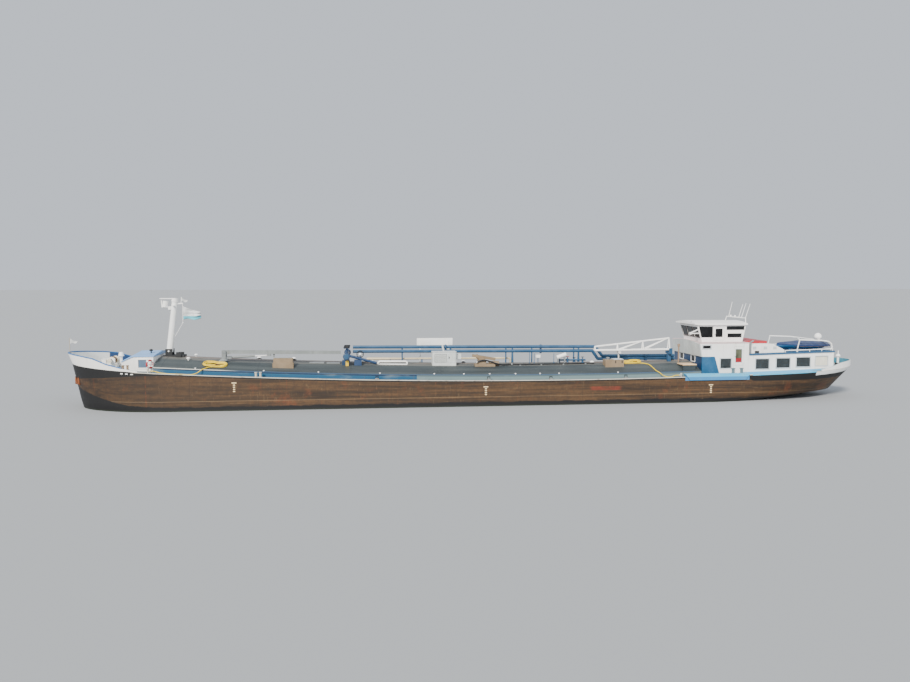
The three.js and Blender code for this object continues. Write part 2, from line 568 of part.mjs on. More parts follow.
function craneJib() {
  const { s, y, pin, tip } = CRANE;
  const { root, end, half, top, tipTop } = JIB;
  const section = (at, high, deep) => [point(at, y + half, high - deep), point(at, y + half, high),
    point(at, y - half, high), point(at, y - half, high - deep)];
  const arm = loft([section(s - 0.14, top, 0.28), section(s + 0.2, top, 0.28),
    section(s + 0.5, top, root - 0.04),
    section(13.6, top - 0.04, root - 0.02), section(tip, tipTop, end)]);
  const lug = [1, -1].map((k) => block(CYLINDER.eyeS - 0.12, CYLINDER.eyeS + 0.12, y + k * 0.1 - 0.025,
    y + k * 0.1 + 0.025,
    CYLINDER.eyeH - 0.06, top - 0.1));
  const hook = block(13.35, 13.47, y - 0.04, y + 0.04, 3.22, top - 0.15);
  const boss = pinAcross(s, y, pin, 0.1, 0.16 - GAP);
  return cut(fuse(arm, ...lug, hook, boss), boreAcross(s, y, pin, 0.045));
}
function cylinderPlaces() {
  const { footS, footH, eyeS, eyeH, barrel } = CYLINDER;
  const length = Math.hypot(eyeS - footS, eyeH - footH);
  const part = (d) => point(footS + (eyeS - footS) * d / length, CRANE.y,
    footH + (eyeH - footH) * d / length);
  return { length, part, barrel };
}
function craneBarrel() {
  const { part, barrel } = cylinderPlaces();
  const body = bar(part(0.12), part(barrel), CYLINDER.bore, CYLINDER.bore, 12);
  const eye = pinAcross(CYLINDER.footS, CRANE.y, CYLINDER.footH, 0.06, 0.105 - GAP);
  const neck = bar(part(0.03), part(0.14), 0.05, 0.05, 10);
  const pinHole = boreAcross(CYLINDER.footS, CRANE.y, CYLINDER.footH, 0.03);
  const bore = bar(part(0.3), part(barrel + 0.1), CYLINDER.rod + GAP, CYLINDER.rod + GAP, 12);
  return cut(fuse(body, eye, neck), pinHole, bore);
}
function craneRod() {
  const { part, length } = cylinderPlaces();
  const rod = bar(part(0.55), part(length), CYLINDER.rod, CYLINDER.rod, 12);
  const eye = pinAcross(CYLINDER.eyeS, CRANE.y, CYLINDER.eyeH, 0.05, 0.075 - GAP);
  return fuse(rod, eye);
}
fuseToTrunk(cranePedestal());
add('crane_post', cranePost(), 'grey');
add('crane_jib', craneJib(), 'grey');
add('crane_cylinder', craneBarrel(), 'grey');
add('crane_rod', craneRod(), 'white');

// Deck gear on the trunk
function foreLocker() {
  const bottom = block(13.4, 14.75, 1.45, 2.0, 2.4, 2.92);
  const top = block(13.45, 14.7, 1.5, 1.95, 2.9, 3.2);
  return seatOnTrunk(fuse(bottom, top));
}
add('fore_locker', foreLocker(), 'beige');

// Loading manifold: standing pipes with valves and hand wheels
const PIPES = {
  upper: 3.72, lower: 3.42, y: -0.35, r: 0.11, from: 18.6, to: 41.7, lowUpper: 2.91, lowLower: 2.7,
  bends: [[35.82, 0.5], [35.6, 0.4]], // where each line starts down, and over what length
};
function manifold() {
  const header = bar(point(18.2, -1.6, 3.25), point(18.2, 1.6, 3.25), 0.16, 0.16, 12);
  const ends = [1, -1].map((k) => bar(point(18.2, k * 1.6, 3.25), point(18.2, k * 1.72, 3.25),
    0.24, 0.24, 12));
  const risers = [-0.9, 0.1, 1.0].map((y) => bar(point(18.2, y, 2.4), point(18.2, y, 3.3), 0.12, 0.12, 10));
  const stems = [-0.9, 0.1, 1.0].map((y) => bar(point(18.2, y, 3.2), point(18.2, y, 3.78), 0.05, 0.05, 8));
  const wheels = [-0.9, 0.1, 1.0].map((y) => bar(point(18.2, y, 3.74), point(18.2, y, 3.78), 0.2, 0.2, 12));
  const boxes = [17.9, 18.7].map((s) => block(s, s + 0.5, 0.55, 1.25, 2.3, 2.95));
  const link = bar(point(18.3, 0.9, 3.25), point(20.2, 0.9, 2.72), 0.09, 0.09, 10);
  const bed = block(17.85, 19.2, 0.5, 1.3, 2.3, 2.62);
  return seatOnTrunk(fuse(header, ...ends, ...risers, ...stems, ...wheels, ...boxes, link, bed));
}
add('manifold', manifold(), 'navy');

// Two cargo lines on legs; aft they step down to the tank deck
function cargoPipes() {
  const { upper, lower, y, r, from, to, lowUpper, lowLower, bends } = PIPES;
  const runs = [[upper, lowUpper], [lower, lowLower]].map(([high, low], k) => {
    const [bend, over] = bends[k];
    return [bar(point(from, y, high), point(bend + 0.05, y, high - 0.12), r, r, 8),
      bar(point(bend, y, high - 0.1), point(bend + over + 0.03, y, low + 0.01), r, r, 8),
      bar(point(bend + over, y, low + 0.02), point(to, y, low), r, r, 8)];
  }).flat();
  const legs = [22.0, 25.4, 29.33, 29.8, 31.2, 34.25, 34.6].map((s, i) =>
    bar(point(s, y, 2.2), point(s, y, upper - 0.08), i === 3 || i === 6 ? 0.1 : 0.05, 0.05, 8));
  const saddles = [37.5, 39.5, 41.2].map((s) => block(s, s + 0.14, y - 0.14, y + 0.14, 2.2, lowUpper));
  const flanges = [25, 31.8].map((s) => [upper, lower].map((h) =>
    bar(point(s, y, h - (s - from) * 0.0071), point(s + 0.08, y, h - (s - from) * 0.0071),
      r + 0.06, r + 0.06, 10))).flat();
  const drop = bar(point(to - 0.08, y, lowLower), point(to - 0.08, y, 2.2), r, r, 8);
  return seatOnTrunk(fuse(...runs, ...legs, ...saddles, ...flanges, drop));
}
add('cargo_pipes', cargoPipes(), 'blue');

function signBoard() {
  const board = block(23.07, 25.6, -1.03, -0.97, 3.76, 4.25);
  const posts = [23.3, 25.3].map((s) => bar(point(s, -1, 2.3), point(s, -1, 4.15), 0.04, 0.04, 8));
  return seatOnTrunk(fuse(board, ...posts));
}
add('sign_board', signBoard(), 'white');

function pumpHousing() {
  const cabinet = block(24.0, 25.63, 0.15, 1.05, 2.3, 3.42);
  const side = block(25.58, 26.0, 0.35, 0.8, 2.92, 3.28);
  const exhaust = bar(point(24.85, 0.35, 3.4), point(24.75, 0.35, 3.85), 0.06, 0.06, 10);
  return seatOnTrunk(fuse(cabinet, side, exhaust));
}
add('pump_housing', pumpHousing(), 'grey');

function deckPump() {
  const y = 1.0;
  const body = bar(point(27.4, y - 0.3, 2.75), point(27.4, y + 0.3, 2.75), 0.28, 0.28, 12);
  const foot = block(26.9, 28.3, y - 0.3, y + 0.3, 2.2, 2.62);
  const neck = bar(point(27.4, y, 2.8), point(27.0, y, 3.2), 0.12, 0.12, 10);
  const arm = plank(point(26.75, y, 3.18), point(28.35, y, 2.9), 0.2, 0.18);
  const motor = bar(point(27.9, y, 2.6), point(28.6, y, 2.6), 0.18, 0.18, 10);
  return seatOnTrunk(fuse(body, foot, neck, arm, motor));
}
add('deck_pump', deckPump(), 'beige');

const aftLocker = block(35.98, 37.3, 1.0, 1.65, 2.1, 2.84);
add('aft_locker', seatOnTrunk(aftLocker), 'beige');

const LAMP = { s: 41.45, y: 1.12, top: 3.85 };
const lampPost = fuse(bar(point(LAMP.s, LAMP.y, 2.1), point(LAMP.s, LAMP.y, 3.72), 0.05, 0.05, 8),
  bar(point(LAMP.s, LAMP.y, LAMP.top - 0.19), point(LAMP.s, LAMP.y, LAMP.top), 0.09, 0.09, 10));
fuseToTrunk(lampPost);

// Access hatch with a hinged lid, ahead of the house
const HATCH = { s0: 41.2, s1: 42.2, y0: 1.5, y1: 2.5, high: 2.48 };
const hatchLid = block(HATCH.s0, HATCH.s1, HATCH.y0, HATCH.y1, HATCH.high, HATCH.high + 0.07);
const coaming = block(HATCH.s0 + 0.06, HATCH.s1 - 0.06, HATCH.y0 + 0.06, HATCH.y1 - 0.06, 2.0,
  HATCH.high - GAP);
fuseToTrunk(coaming);
add('hatch_lid', hatchLid, 'beige');

// Lattice boom on a stand, lowered on to a rest
const BOOM = { s: 41.0, y: 0.45, pin: 3.42, tip: 35.54, tipH: 3.4, deep: 0.72, half: 0.22, tube: 0.06 };
function boomStand() {
  const { s, y, pin } = BOOM;
  const post = block(s - 0.12, s + 0.12, y - 0.12, y + 0.12, 2.2, pin - 0.22);
  const cheeks = [1, -1].map((k) => block(s - 0.12, s + 0.12, y + k * 0.34 - 0.03, y + k * 0.34 + 0.03,
    pin - 0.3, pin + 0.1));
  const yoke = block(s - 0.12, s + 0.12, y - 0.36, y + 0.36, pin - 0.3, pin - 0.2);
  return seatOnTrunk(fuse(post, yoke, ...cheeks, pinAcross(s, y, pin, 0.035, 0.4)));
}
function boomRest() {
  const [s, y] = [37.3, BOOM.y];
  return fuse(bar(point(s, y, 2.2), point(s, y, 3.2), 0.05, 0.05, 8),
    block(s - 0.08, s + 0.08, y - 0.3, y + 0.3, 3.18, 3.32));
}
function boom() {
  const { s, y, pin, tip, tipH, deep, half, tube } = BOOM;
  const low = (at, k) => point(at, y + k * (half - 0.1 * (s - at) / (s - tip)),
    pin + (tipH - pin) * (s - at) / (s - tip));
  const high = (at) => point(at, y, pin + 0.08 + deep - (deep - 0.16) * (s - at) / (s - tip));
  const bars = [bar(high(s), high(tip), tube, tube, 6)];
  for (const k of [1, -1]) bars.push(bar(low(s, k), low(tip, k), tube, tube, 6));
  const joints = [s - 0.02, 39.05, 37.2, tip + 0.02];
  for (const at of joints) {
    for (const k of [1, -1]) bars.push(bar(low(at, k), high(at), tube * 0.8, tube * 0.8, 6));
    bars.push(bar(low(at, 1), low(at, -1), tube * 0.8, tube * 0.8, 6));
  }
  for (const [a, b] of [[39.05, s - 0.1], [37.2, 39.05]]) {
    for (const k of [1, -1]) bars.push(bar(low(a, k), high(b), tube * 0.7, tube * 0.7, 6));
  }
  const sleeve = pinAcross(s, y, pin, 0.08, 0.31 - GAP);
  return cut(fuse(...bars, sleeve), boreAcross(s, y, pin, 0.035));
}
add('boom_stand', boomStand(), 'grey');
fuseToTrunk(boomRest());
add('boom', boom(), 'white');

// Aft house: walls as flat panels with their windows cut
const HOUSE = { from: 42.6, step: 46.0, to: 52.3, bridge: 3.94, ledge0: 3.12, ledge1: 3.28 };
const SIDE_WINDOWS = [[42.62, 43.22, 3.6, 3.84], [43.92, 44.72, 2.22, 2.92], [46.5, 47.5, 2.14, 2.87],
  [48.02, 49.05, 2.2, 2.9], [49.5, 50.55, 2.26, 2.95], [50.92, 51.85, 2.34, 3.0]];
const DOOR = { s0: 44.9, s1: 45.6, h0: 2.42, h1: 3.72, pane: [45.02, 45.48, 2.64, 3.56] };
const DOOR_GAP = 0.012; // free space round a door's edge
const KNUCKLE = 0.02; // radius of a door hinge
const ledgeHeight = (s) => HOUSE.ledge0 + (HOUSE.ledge1 - HOUSE.ledge0) *
  (s - HOUSE.step) / (HOUSE.to - HOUSE.step);

// The visor leans forward over the front windows; its back edge at a height
const VISOR = { foot: 3.06, top: 4.12, thick: 0.07, lean: 0.17 };
const visorBack = (h) => HOUSE.from - (h - VISOR.foot) * VISOR.lean;

function houseSide(side) {
  const { from, step, to, bridge } = HOUSE;
  const corners = [[from, 1.6], [to, 1.6], [to, ledgeHeight(to)], [step, ledgeHeight(step)], [step, bridge],
    [visorBack(bridge) + GAP, bridge], [visorBack(VISOR.foot) + GAP, VISOR.foot], [from,
      VISOR.foot - 0.05]];
  const holes = SIDE_WINDOWS.map(windowHole);
  holes.push(windowHole([DOOR.s0, DOOR.s1, DOOR.h0, DOOR.h1]));
  return seatOnDeck(sideWall(corners, holes, side * HOUSE_SIDE));
}
function houseFront() {
  const inner = HOUSE_SIDE - WALL - GAP;
  const holes = [-1.05, 0.95].map((y) => windowHole([y - 0.3, y + 0.3, 2.62, 3.02]));
  const wall = crossWall([[-inner, 1.6], [inner, 1.6], [inner, 3.14], [-inner, 3.14]], holes,
    HOUSE.from + GAP);
  return seatOnDeck(geometryOf(solid(wall).subtract(trunkTool)));
}
function houseAft() {
  const inner = HOUSE_SIDE - WALL - GAP;
  const top = ledgeHeight(HOUSE.to) - 0.01;
  const holes = [[-1.6, -0.9, 2.5, 3.0], [0.9, 1.6, 2.5, 3.0]].map(windowHole);
  return seatOnDeck(crossWall([[-inner, 1.6], [inner, 1.6], [inner, top], [-inner, top]], holes,
    HOUSE.to - WALL));
}
function visor() {
  const { foot, top, thick } = VISOR;
  const half = HOUSE_SIDE + 0.05;
  const steps = 8;
  const arch = Array.from({ length: steps + 1 }, (_, i) => {
    const y = half * (1 - 2 * i / steps);
    return [y, 3.9 + 0.2 * (1 - (y / half) ** 2)];
  });
  const outline = crossWall([...arch, [-half, foot], [half, foot]], [], HOUSE.from - 1, 2);
  const corners = [[visorBack(foot), foot], [visorBack(top), top], [visorBack(top) - thick, top],
    [visorBack(foot) - thick, foot]];
  return common(sideWall(corners, [], half + 0.2, 2 * half + 0.4), outline);
}
add('house_side_port', houseSide(1), 'white');
add('house_side_starboard', houseSide(-1), 'white');
add('house_front', houseFront(), 'navy');
add('house_aft', houseAft(), 'white');
add('visor', visor(), 'grey');
const FLOOR = { top: 2.4, thick: 0.07, half: HOUSE_SIDE - WALL - GAP };
const floorEnds = [HOUSE.from + WALL + 2 * GAP, HOUSE.to - WALL - GAP];
add('house_floor', block(...floorEnds, -FLOOR.half, FLOOR.half, FLOOR.top - FLOOR.thick, FLOOR.top),
  'beige');

// A door flush in its wall, hung on a knuckle outside its after edge, with a pane cut out
function hungDoor({ s0, s1, h0, h1 }, pane, side, wall, thick) {
  const slab = (from, to, y0, y1, low, high) =>
    block(from, to, ...(side > 0 ? [y0, y1] : [-y1, -y0]), low, high);
  const leaf = slab(s0 + DOOR_GAP, s1 - DOOR_GAP, wall - thick, wall + 0.01, h0 + DOOR_GAP, h1 - DOOR_GAP);
  const straps = [h0 + 0.15, h1 - 0.25].map((h) => slab(s1 - 0.1, s1, wall + GAP, wall + 0.02, h, h + 0.1));
  const [s, y] = [s1, side * (wall + KNUCKLE + GAP)];
  const knuckles = [h0 + 0.15, h1 - 0.25].map((h) => bar(point(s, y, h), point(s, y, h + 0.1),
    KNUCKLE, KNUCKLE, 12));
  return cut(fuse(leaf, ...straps, ...knuckles), slab(...pane.slice(0, 2),
    wall - 0.3, wall + 0.3, ...pane.slice(2)));
}
add('house_door_port', hungDoor(DOOR, DOOR.pane, 1, HOUSE_SIDE, 0.04), 'white');
add('house_door_starboard', hungDoor(DOOR, DOOR.pane, -1, HOUSE_SIDE, 0.04), 'white');

const BRIDGE = { from: visorBack(HOUSE.bridge) + GAP, h: HOUSE.bridge + GAP, thick: 0.07 };
const bridgeDeck = block(BRIDGE.from, HOUSE.step + 0.02, -HOUSE_SIDE, HOUSE_SIDE, BRIDGE.h,
  BRIDGE.h + BRIDGE.thick);
add('bridge_deck', bridgeDeck, 'grey');

// Roof of the aft house, with the engine casing on it
const ROOF = { thick: 0.1, over: 0.06 };
function aftRoof(rise = 0, drop = 0) {
  const loops = [HOUSE.step + 0.03, HOUSE.to + ROOF.over].map((s) => {
    const edge = HOUSE_SIDE + ROOF.over + drop;
    const [low, high] = [ledgeHeight(s) + GAP - drop, ledgeHeight(s) + GAP + ROOF.thick + rise];
    return [point(s, edge, low), point(s, edge, high), point(s, -edge, high), point(s, -edge, low)];
  });
  return loft(loops);
}
const roofTool = solid(aftRoof(GAP, 0.3));
const seatOnRoof = (geometry) => geometryOf(solid(geometry).subtract(roofTool));
add('aft_roof', aftRoof(), 'pale');

const CASING = { from: 46.04, flat: 47.85, to: 48.75, side: 2.2, high: 3.88, low: 3.45, lid: 47.75 };
function casing() {
  const { from, flat, to, side, high, low } = CASING;
  const base = (s) => ledgeHeight(s) + ROOF.thick + 2 * GAP;
  return sideWall([[from, base(from)], [to, base(to)], [to, low], [flat, high], [from, high]], [], side,
    2 * side);
}
add('engine_casing', casing(), 'white');
add('casing_hatch', block(46.08, CASING.lid, -1.6, 1.6, CASING.high + GAP, CASING.high + 0.16), 'red');

// Wheelhouse: its front leans forward, its doors are at the sides
const WH = { from: 42.96, to: 45.94, side: 1.55, h0: BRIDGE.h + BRIDGE.thick + GAP, h1: 5.2, lean: 0.37,
  aftLean: 0.26 };
const WH_DOOR = { s0: 43.83, s1: 44.6, h0: WH.h0 + 0.1, h1: 5.02, pane: [43.94, 44.47, 4.34, 4.94] };
function wheelhouseSide(side) {
  const { from, to, h0, h1, lean, aftLean } = WH;
  const corners = [[from, h0], [to, h0], [to + aftLean, h1], [from - lean, h1]];
  const holes = [[[42.93, 4.35], [43.72, 4.35], [43.72, 5.06], [42.75, 5.06]],
    windowHole([WH_DOOR.s0, WH_DOOR.s1, WH_DOOR.h0, WH_DOOR.h1]),
    windowHole([44.78, 46.04, 4.87, 5.08]), windowHole([44.86, 45.84, 4.34, 4.57])];
  return sideWall(corners, holes, side * WH.side, 0.06);
}
function wheelhouseEnd(front) {
  const { from, to, side, h0, h1, lean, aftLean } = WH;
  const inner = side - 0.06 - GAP;
  const tilt = front ? lean : aftLean;
  const high = h1 - h0;
  const angle = Math.atan2(tilt, high);
  const slant = Math.hypot(tilt, high) - 0.02;
  const corners = [[-inner, h0], [inner, h0], [inner, h0 + slant], [-inner, h0 + slant]];
  const panes = front ? [[-1.4, -0.56], [-0.46, 0.46], [0.56, 1.4]] : [[-1.3, -0.2], [0.2, 1.3]];
  const holes = panes.map(([y0, y1]) => windowHole([y0, y1, h0 + 0.32, h0 + 1.05]));
  const wall = crossWall(corners, holes, front ? from : to - 0.06, 0.06, front ? angle : -angle);
  const lift = front ? 0 : 0.06 * Math.sin(angle) * M;
  return wall.translate(0, 0, lift + GAP * M);
}
add('wheelhouse_port', wheelhouseSide(1), 'white');
add('wheelhouse_starboard', wheelhouseSide(-1), 'white');
add('wheelhouse_front', wheelhouseEnd(true), 'white');
add('wheelhouse_aft', wheelhouseEnd(false), 'white');
add('wheelhouse_door_port', hungDoor(WH_DOOR, WH_DOOR.pane, 1, WH.side, 0.03), 'white');
add('wheelhouse_door_starboard', hungDoor(WH_DOOR, WH_DOOR.pane, -1, WH.side, 0.03), 'white');
function wheelhouseRoof() {
  const half = WH.side + 0.15;
  const section = (s, low, thick, crown) => [point(s, half, low), point(s, half, low + thick),
    point(s, half * 0.5, low + thick + crown * 0.75), point(s, 0, low + thick + crown),
    point(s, -half * 0.5, low + thick + crown * 0.75), point(s, -half, low + thick), point(s, -half, low),
    point(s, 0, low)];
  return loft([section(42.35, 5.24, 0.08, 0.12), section(42.75, WH.h1 + GAP, 0.12, 0.15),
    section(46.25, WH.h1 + GAP, 0.1, 0.15)]);
}
add('wheelhouse_roof', wheelhouseRoof(), 'white');

// Hoop across the aft end of the wheelhouse roof, with the aerials and two lamps on its top bar
const HOOP = { s: 46.18, rail: 5.67, top: 1.45, footS: 46.12, foot: 1.62, base: 5.25, r: 0.035 };
// side, lean, tip
const AERIALS = [[-1.13, 0.25, 6.75], [0.42, 0.3, 6.62], [0.83, 0.33, 6.7], [1.43, 0.33, 6.68]];
function roofRail() {
  const { s, rail, top, footS, foot, base, r } = HOOP;
  const bars = [bar(point(s, -top - 0.03, rail), point(s, top + 0.03, rail), r, r, 8)];
  for (const k of [1, -1]) {
    bars.push(bar(point(footS, k * foot, base), point(s, k * top, rail + 0.01), r * 0.9, r * 0.9, 8));
  }
  for (const [y, lean, tip] of AERIALS) {
    bars.push(bar(point(s + 0.004, y, rail - 0.01), point(s + lean, y, tip), 0.024, 0.014, 6));
  }
  for (const y of [-0.8, -0.14]) bars.push(bar(point(s, y, rail), point(s, y, rail + 0.13),
    0.05, 0.06, 10));
  const roof = solid(wheelhouseRoof().clone().translate(0, 0, GAP * M));
  return geometryOf(solid(fuse(...bars)).subtract(roof));
}
add('roof_rail', roofRail(), 'white');

const exhaust = bar(point(46.14, HOUSE_SIDE - 0.1, 3.1), point(46.14, HOUSE_SIDE - 0.1, 4.05),
  0.07, 0.07, 10);
const elbow = bar(point(46.14, HOUSE_SIDE - 0.1, 4.0), point(46.36, HOUSE_SIDE - 0.1, 4.12),
  0.06, 0.06, 10);
add('exhaust', seatOnRoof(fuse(exhaust, elbow)), 'dark');

// Stern rail and the frame over the dinghy
const roofSurface = (s) => ledgeHeight(s) + ROOF.thick - 0.03;
function sternRail() {
  const [y, high, inner, low] = [HOUSE_SIDE - 0.03, 0.16, HOUSE_SIDE - 0.4, 0.1];
  const frame = [[49.9, 4.14], [51.6, 4.07], [52.12, 4.0], [52.34, 3.85], [52.4, 3.6], [52.28,
    roofSurface(52.28)]];
  const bars = [];
  for (const side of [1, -1]) {
    for (const s of [48.7, 49.6, 50.5, 51.4, 52.2]) {
      bars.push(bar(point(s, side * y, roofSurface(s)), point(s, side * y, roofSurface(s) + high),
        0.024, 0.024, 6));
    }
    bars.push(bar(point(48.68, side * y, roofSurface(48.68) + high),
      point(52.23, side * y, roofSurface(52.23) + high), 0.032, 0.032, 8));
    for (let i = 0; i + 1 < frame.length; i++) {
      const [[s0, h0], [s1, h1]] = [frame[i], frame[i + 1]];
      bars.push(bar(point(s0, side * inner, h0), point(s1, side * inner, h1), 0.045, 0.045, 10));
      if (i) bars.push(ball(s0, side * inner, h0, 0.048));
    }
    bars.push(bar(point(52.33, side * inner, roofSurface(52.3) + low),
      point(52.2, side * y, roofSurface(52.2) + high), 0.022, 0.022, 6));
    bars.push(bar(point(49.95, side * inner, 4.12), point(49.75, side * inner, roofSurface(49.75)),
      0.036, 0.036, 8));
  }
  bars.push(bar(point(51.95, -inner - 0.02, 4.025), point(51.95, inner + 0.02, 4.025), 0.05, 0.05, 8));
  bars.push(bar(point(52.2, -y, roofSurface(52.2) + low), point(52.2, y, roofSurface(52.2) + low),
    0.026, 0.026, 6));
  bars.push(block(51.85, 52.05, 0.9, 1.1, 3.98, 4.08));
  return seatOnRoof(fuse(...bars));
}
add('stern_rail', sternRail(), 'white');

function dome() {
  const profile = [[0, 0], [0.15, 0], [0.25, 0.1], [0.26, 0.22], [0.21, 0.36], [0.1, 0.44], [0, 0.47]];
  const shell = new THREE.LatheGeometry(profile.map(([r, h]) => new THREE.Vector2(r * M, h * M)), 14);
  return shell.rotateX(Math.PI / 2).translate(...point(51.95, 1.0, 4.08 + GAP).toArray());
}
add('satellite_dome', dome(), 'white');

// Ship's dinghy on chocks under its cover
const DINGHY = { from: 48.71, to: 52.45, y: 1.2, half: 0.68, keel: 3.43, sheer: 3.74, crown: 3.93 };
function dinghyHalf(t) {
  return DINGHY.half * Math.min(1, (1 - (2 * t - 1) ** 4) ** 0.5 + 0.12);
}
function dinghyHull() {
  const { from, to, y, keel, sheer: rim } = DINGHY;
  const loops = [0, 0.08, 0.2, 0.4, 0.6, 0.8, 0.93, 1].map((t) => {
    const s = from + (to - from) * t;
    const w = dinghyHalf(t);
    const low = keel + 0.16 * (2 * t - 1) ** 4;
    return [point(s, y + w, rim), point(s, y + w * 0.85, low + 0.12), point(s, y + w * 0.3, low),
      point(s, y - w * 0.3, low), point(s, y - w * 0.85, low + 0.12), point(s, y - w, rim)];
  });
  const chocks = [49.4, 51.2].map((s) => block(s, s + 0.1, y - 0.45, y + 0.45, roofSurface(s + 0.1),
    keel + 0.08));
  return seatOnRoof(fuse(loft(loops), ...chocks));
}
function dinghyCover() {
  const { from, to, y, sheer: rim, crown } = DINGHY;
  const loops = [0, 0.08, 0.2, 0.4, 0.6, 0.8, 0.93, 1].map((t) => {
    const s = from + (to - from) * t;
    const w = dinghyHalf(t);
    const rise = (crown - rim) * (1 - (2 * t - 1) ** 2 * 0.75);
    return [point(s, y + w, rim + GAP), point(s, y + w * 0.96, rim + 0.05),
      point(s, y + w * 0.5, rim + rise * 0.8),
      point(s, y, rim + rise), point(s, y - w * 0.5, rim + rise * 0.8), point(s, y - w * 0.96, rim + 0.05),
      point(s, y - w, rim + GAP), point(s, y, rim + GAP)];
  });
  return loft(loops);
}
add('dinghy', dinghyHull(), 'cloth');
add('dinghy_cover', dinghyCover(), 'cloth');

// Deck hoses: each runs from its hydrant along the side deck, over the coaming, to a hank on the trunk
const HOSE = { r: 0.03, lift: 0.002 };
// radii of the round ends at the hank's edges
const HANK = { run: 0.9, inner: 0.15, outer: 0.33, high: 0.12 };
const HANKS = [{ s: 9.72, y: 1.9, nozzle: [0.1, 0.36] }, { s: 38.1, y: 0.64, nozzle: [0.36, 0.1] }];
const NOZZLE = { r: 0.034, tip: 0.6 };
// station, distance to port and, in the air, height over the side deck; then places on the trunk
const ROUTES = [
  { deck: [[6.2, 2.88, 0.09], [6.5, 2.95, 0.03], [6.9, 3.02], [7.4, 3.07], [7.9, 3.08], [8.35, 3.05],
    [8.62, 2.98, 0.04],
    [8.82, 2.88, 0.14], [8.97, 2.76, 0.26], [9.09, 2.62, 0.34]],
  trunk: [[9.2, 2.47], [9.33, 2.33], [9.48, 2.23], [9.66, 2.2]] },
  { deck: [[40.48, 2.88, 0.08], [40.25, 2.95, 0.02], [40.0, 2.98], [39.8, 2.96, 0.05], [39.62, 2.87, 0.14],
    [39.5, 2.76, 0.26], [39.41, 2.62, 0.34]],
  trunk: [[39.35, 2.44], [39.3, 2.1], [39.25, 1.75], [39.16, 1.42], [39.0, 1.14], [38.8, 0.98], [38.6,
    0.94], [38.3, 0.94]] },
];
function hoseRoute(route, { s, y, aft }) {
  const out = (d) => point(s + aft * (HYDRANT.reach + d), y, deckAt(s) + HYDRANT.rise);
  const overDeck = ([at, side, over = HOSE.lift]) => point(at, side, deckAt(at) + HOSE.r + over);
  const onTrunk = ([at, side]) => point(at, side, trunkTop(at, side) + HOSE.r + HOSE.lift);
  return [out(GAP), out(0.12), ...route.deck.map(overDeck), ...route.trunk.map(onTrunk)];
}
function hoseTube(places) {
  const section = new THREE.Shape();
  for (let i = 0; i < 8; i++) {
    const angle = (i + 0.5) * Math.PI / 4;
    section[i ? 'lineTo' : 'moveTo'](HOSE.r * M * Math.cos(angle), HOSE.r * M * Math.sin(angle));
  }
  const extrudePath = new THREE.CatmullRomCurve3(places);
  return new THREE.ExtrudeGeometry(section, { steps: 72, extrudePath, bevelEnabled: false });
}
// A hank's outline seen from above: two straight runs with round ends of a given radius
function hankPrism({ s, y }, radius) {
  const outline = [];
  for (const [end, start] of [[1, -90], [-1, 90]]) {
    for (let i = 0; i <= 8; i++) {
      const angle = THREE.MathUtils.degToRad(start + i * 22.5);
      outline.push([LENGTH / 2 - s + end * HANK.run / 2 + radius * Math.cos(angle),
        y + radius * Math.sin(angle)]);
    }
  }
  return panel(outline.map(([x, side]) => [x * M, side * M]), [], 4).translate(0, 0, 2 * M);
}
function hankSolid(hank) {
  const layers = solid(loft(trunkLoops(HANK.high)));
  const ends = cut(hankPrism(hank, HANK.outer), hankPrism(hank, HANK.inner));
  const lying = solid(ends).intersect(layers).subtract(trunkTool);
  const side = hank.y + HANK.outer - 2 * HOSE.r;
  const onTop = (ds) => point(hank.s + ds, side, trunkTop(hank.s + ds, side) + HANK.high + NOZZLE.r - 0.01);
  const [thick, tip] = hank.nozzle.map(onTop);
  return geometryOf(lying.add(solid(bar(thick, tip, NOZZLE.r, NOZZLE.r * NOZZLE.tip))));
}
for (const [i, name] of ['hose_fore', 'hose_aft'].entries()) {
  const laid = solid(hoseTube(hoseRoute(ROUTES[i], HYDRANTS[i]))).subtract(hullTool).subtract(trunkTool);
  add(name, geometryOf(laid.subtract(solid(hankPrism(HANKS[i], HANK.outer + GAP)))), 'yellow');
  add(name + '_hank', hankSolid(HANKS[i]), 'yellow');
}

export default barge;
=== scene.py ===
"""Looks of the inland tank barge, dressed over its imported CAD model."""
import json
import math

import bmesh
import bpy
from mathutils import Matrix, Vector
from mathutils.geometry import interpolate_bezier

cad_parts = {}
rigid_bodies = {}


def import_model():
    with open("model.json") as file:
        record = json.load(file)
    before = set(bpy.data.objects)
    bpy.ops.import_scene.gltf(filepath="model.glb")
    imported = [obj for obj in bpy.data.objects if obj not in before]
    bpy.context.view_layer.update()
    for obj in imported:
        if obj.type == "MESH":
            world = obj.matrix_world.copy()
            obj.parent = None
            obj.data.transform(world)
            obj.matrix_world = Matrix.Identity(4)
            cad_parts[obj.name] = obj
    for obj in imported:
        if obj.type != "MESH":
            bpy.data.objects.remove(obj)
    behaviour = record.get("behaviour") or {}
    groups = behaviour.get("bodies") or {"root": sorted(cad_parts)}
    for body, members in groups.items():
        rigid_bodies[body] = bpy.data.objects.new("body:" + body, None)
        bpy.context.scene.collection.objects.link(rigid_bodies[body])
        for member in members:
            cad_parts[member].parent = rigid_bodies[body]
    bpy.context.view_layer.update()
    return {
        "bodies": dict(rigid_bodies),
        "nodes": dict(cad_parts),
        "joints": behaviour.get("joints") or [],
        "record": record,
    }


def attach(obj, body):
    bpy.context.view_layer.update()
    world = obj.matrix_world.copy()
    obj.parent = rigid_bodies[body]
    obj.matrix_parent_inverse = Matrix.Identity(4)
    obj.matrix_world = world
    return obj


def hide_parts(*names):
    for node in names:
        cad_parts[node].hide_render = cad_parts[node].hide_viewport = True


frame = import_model()
nodes = frame["nodes"]

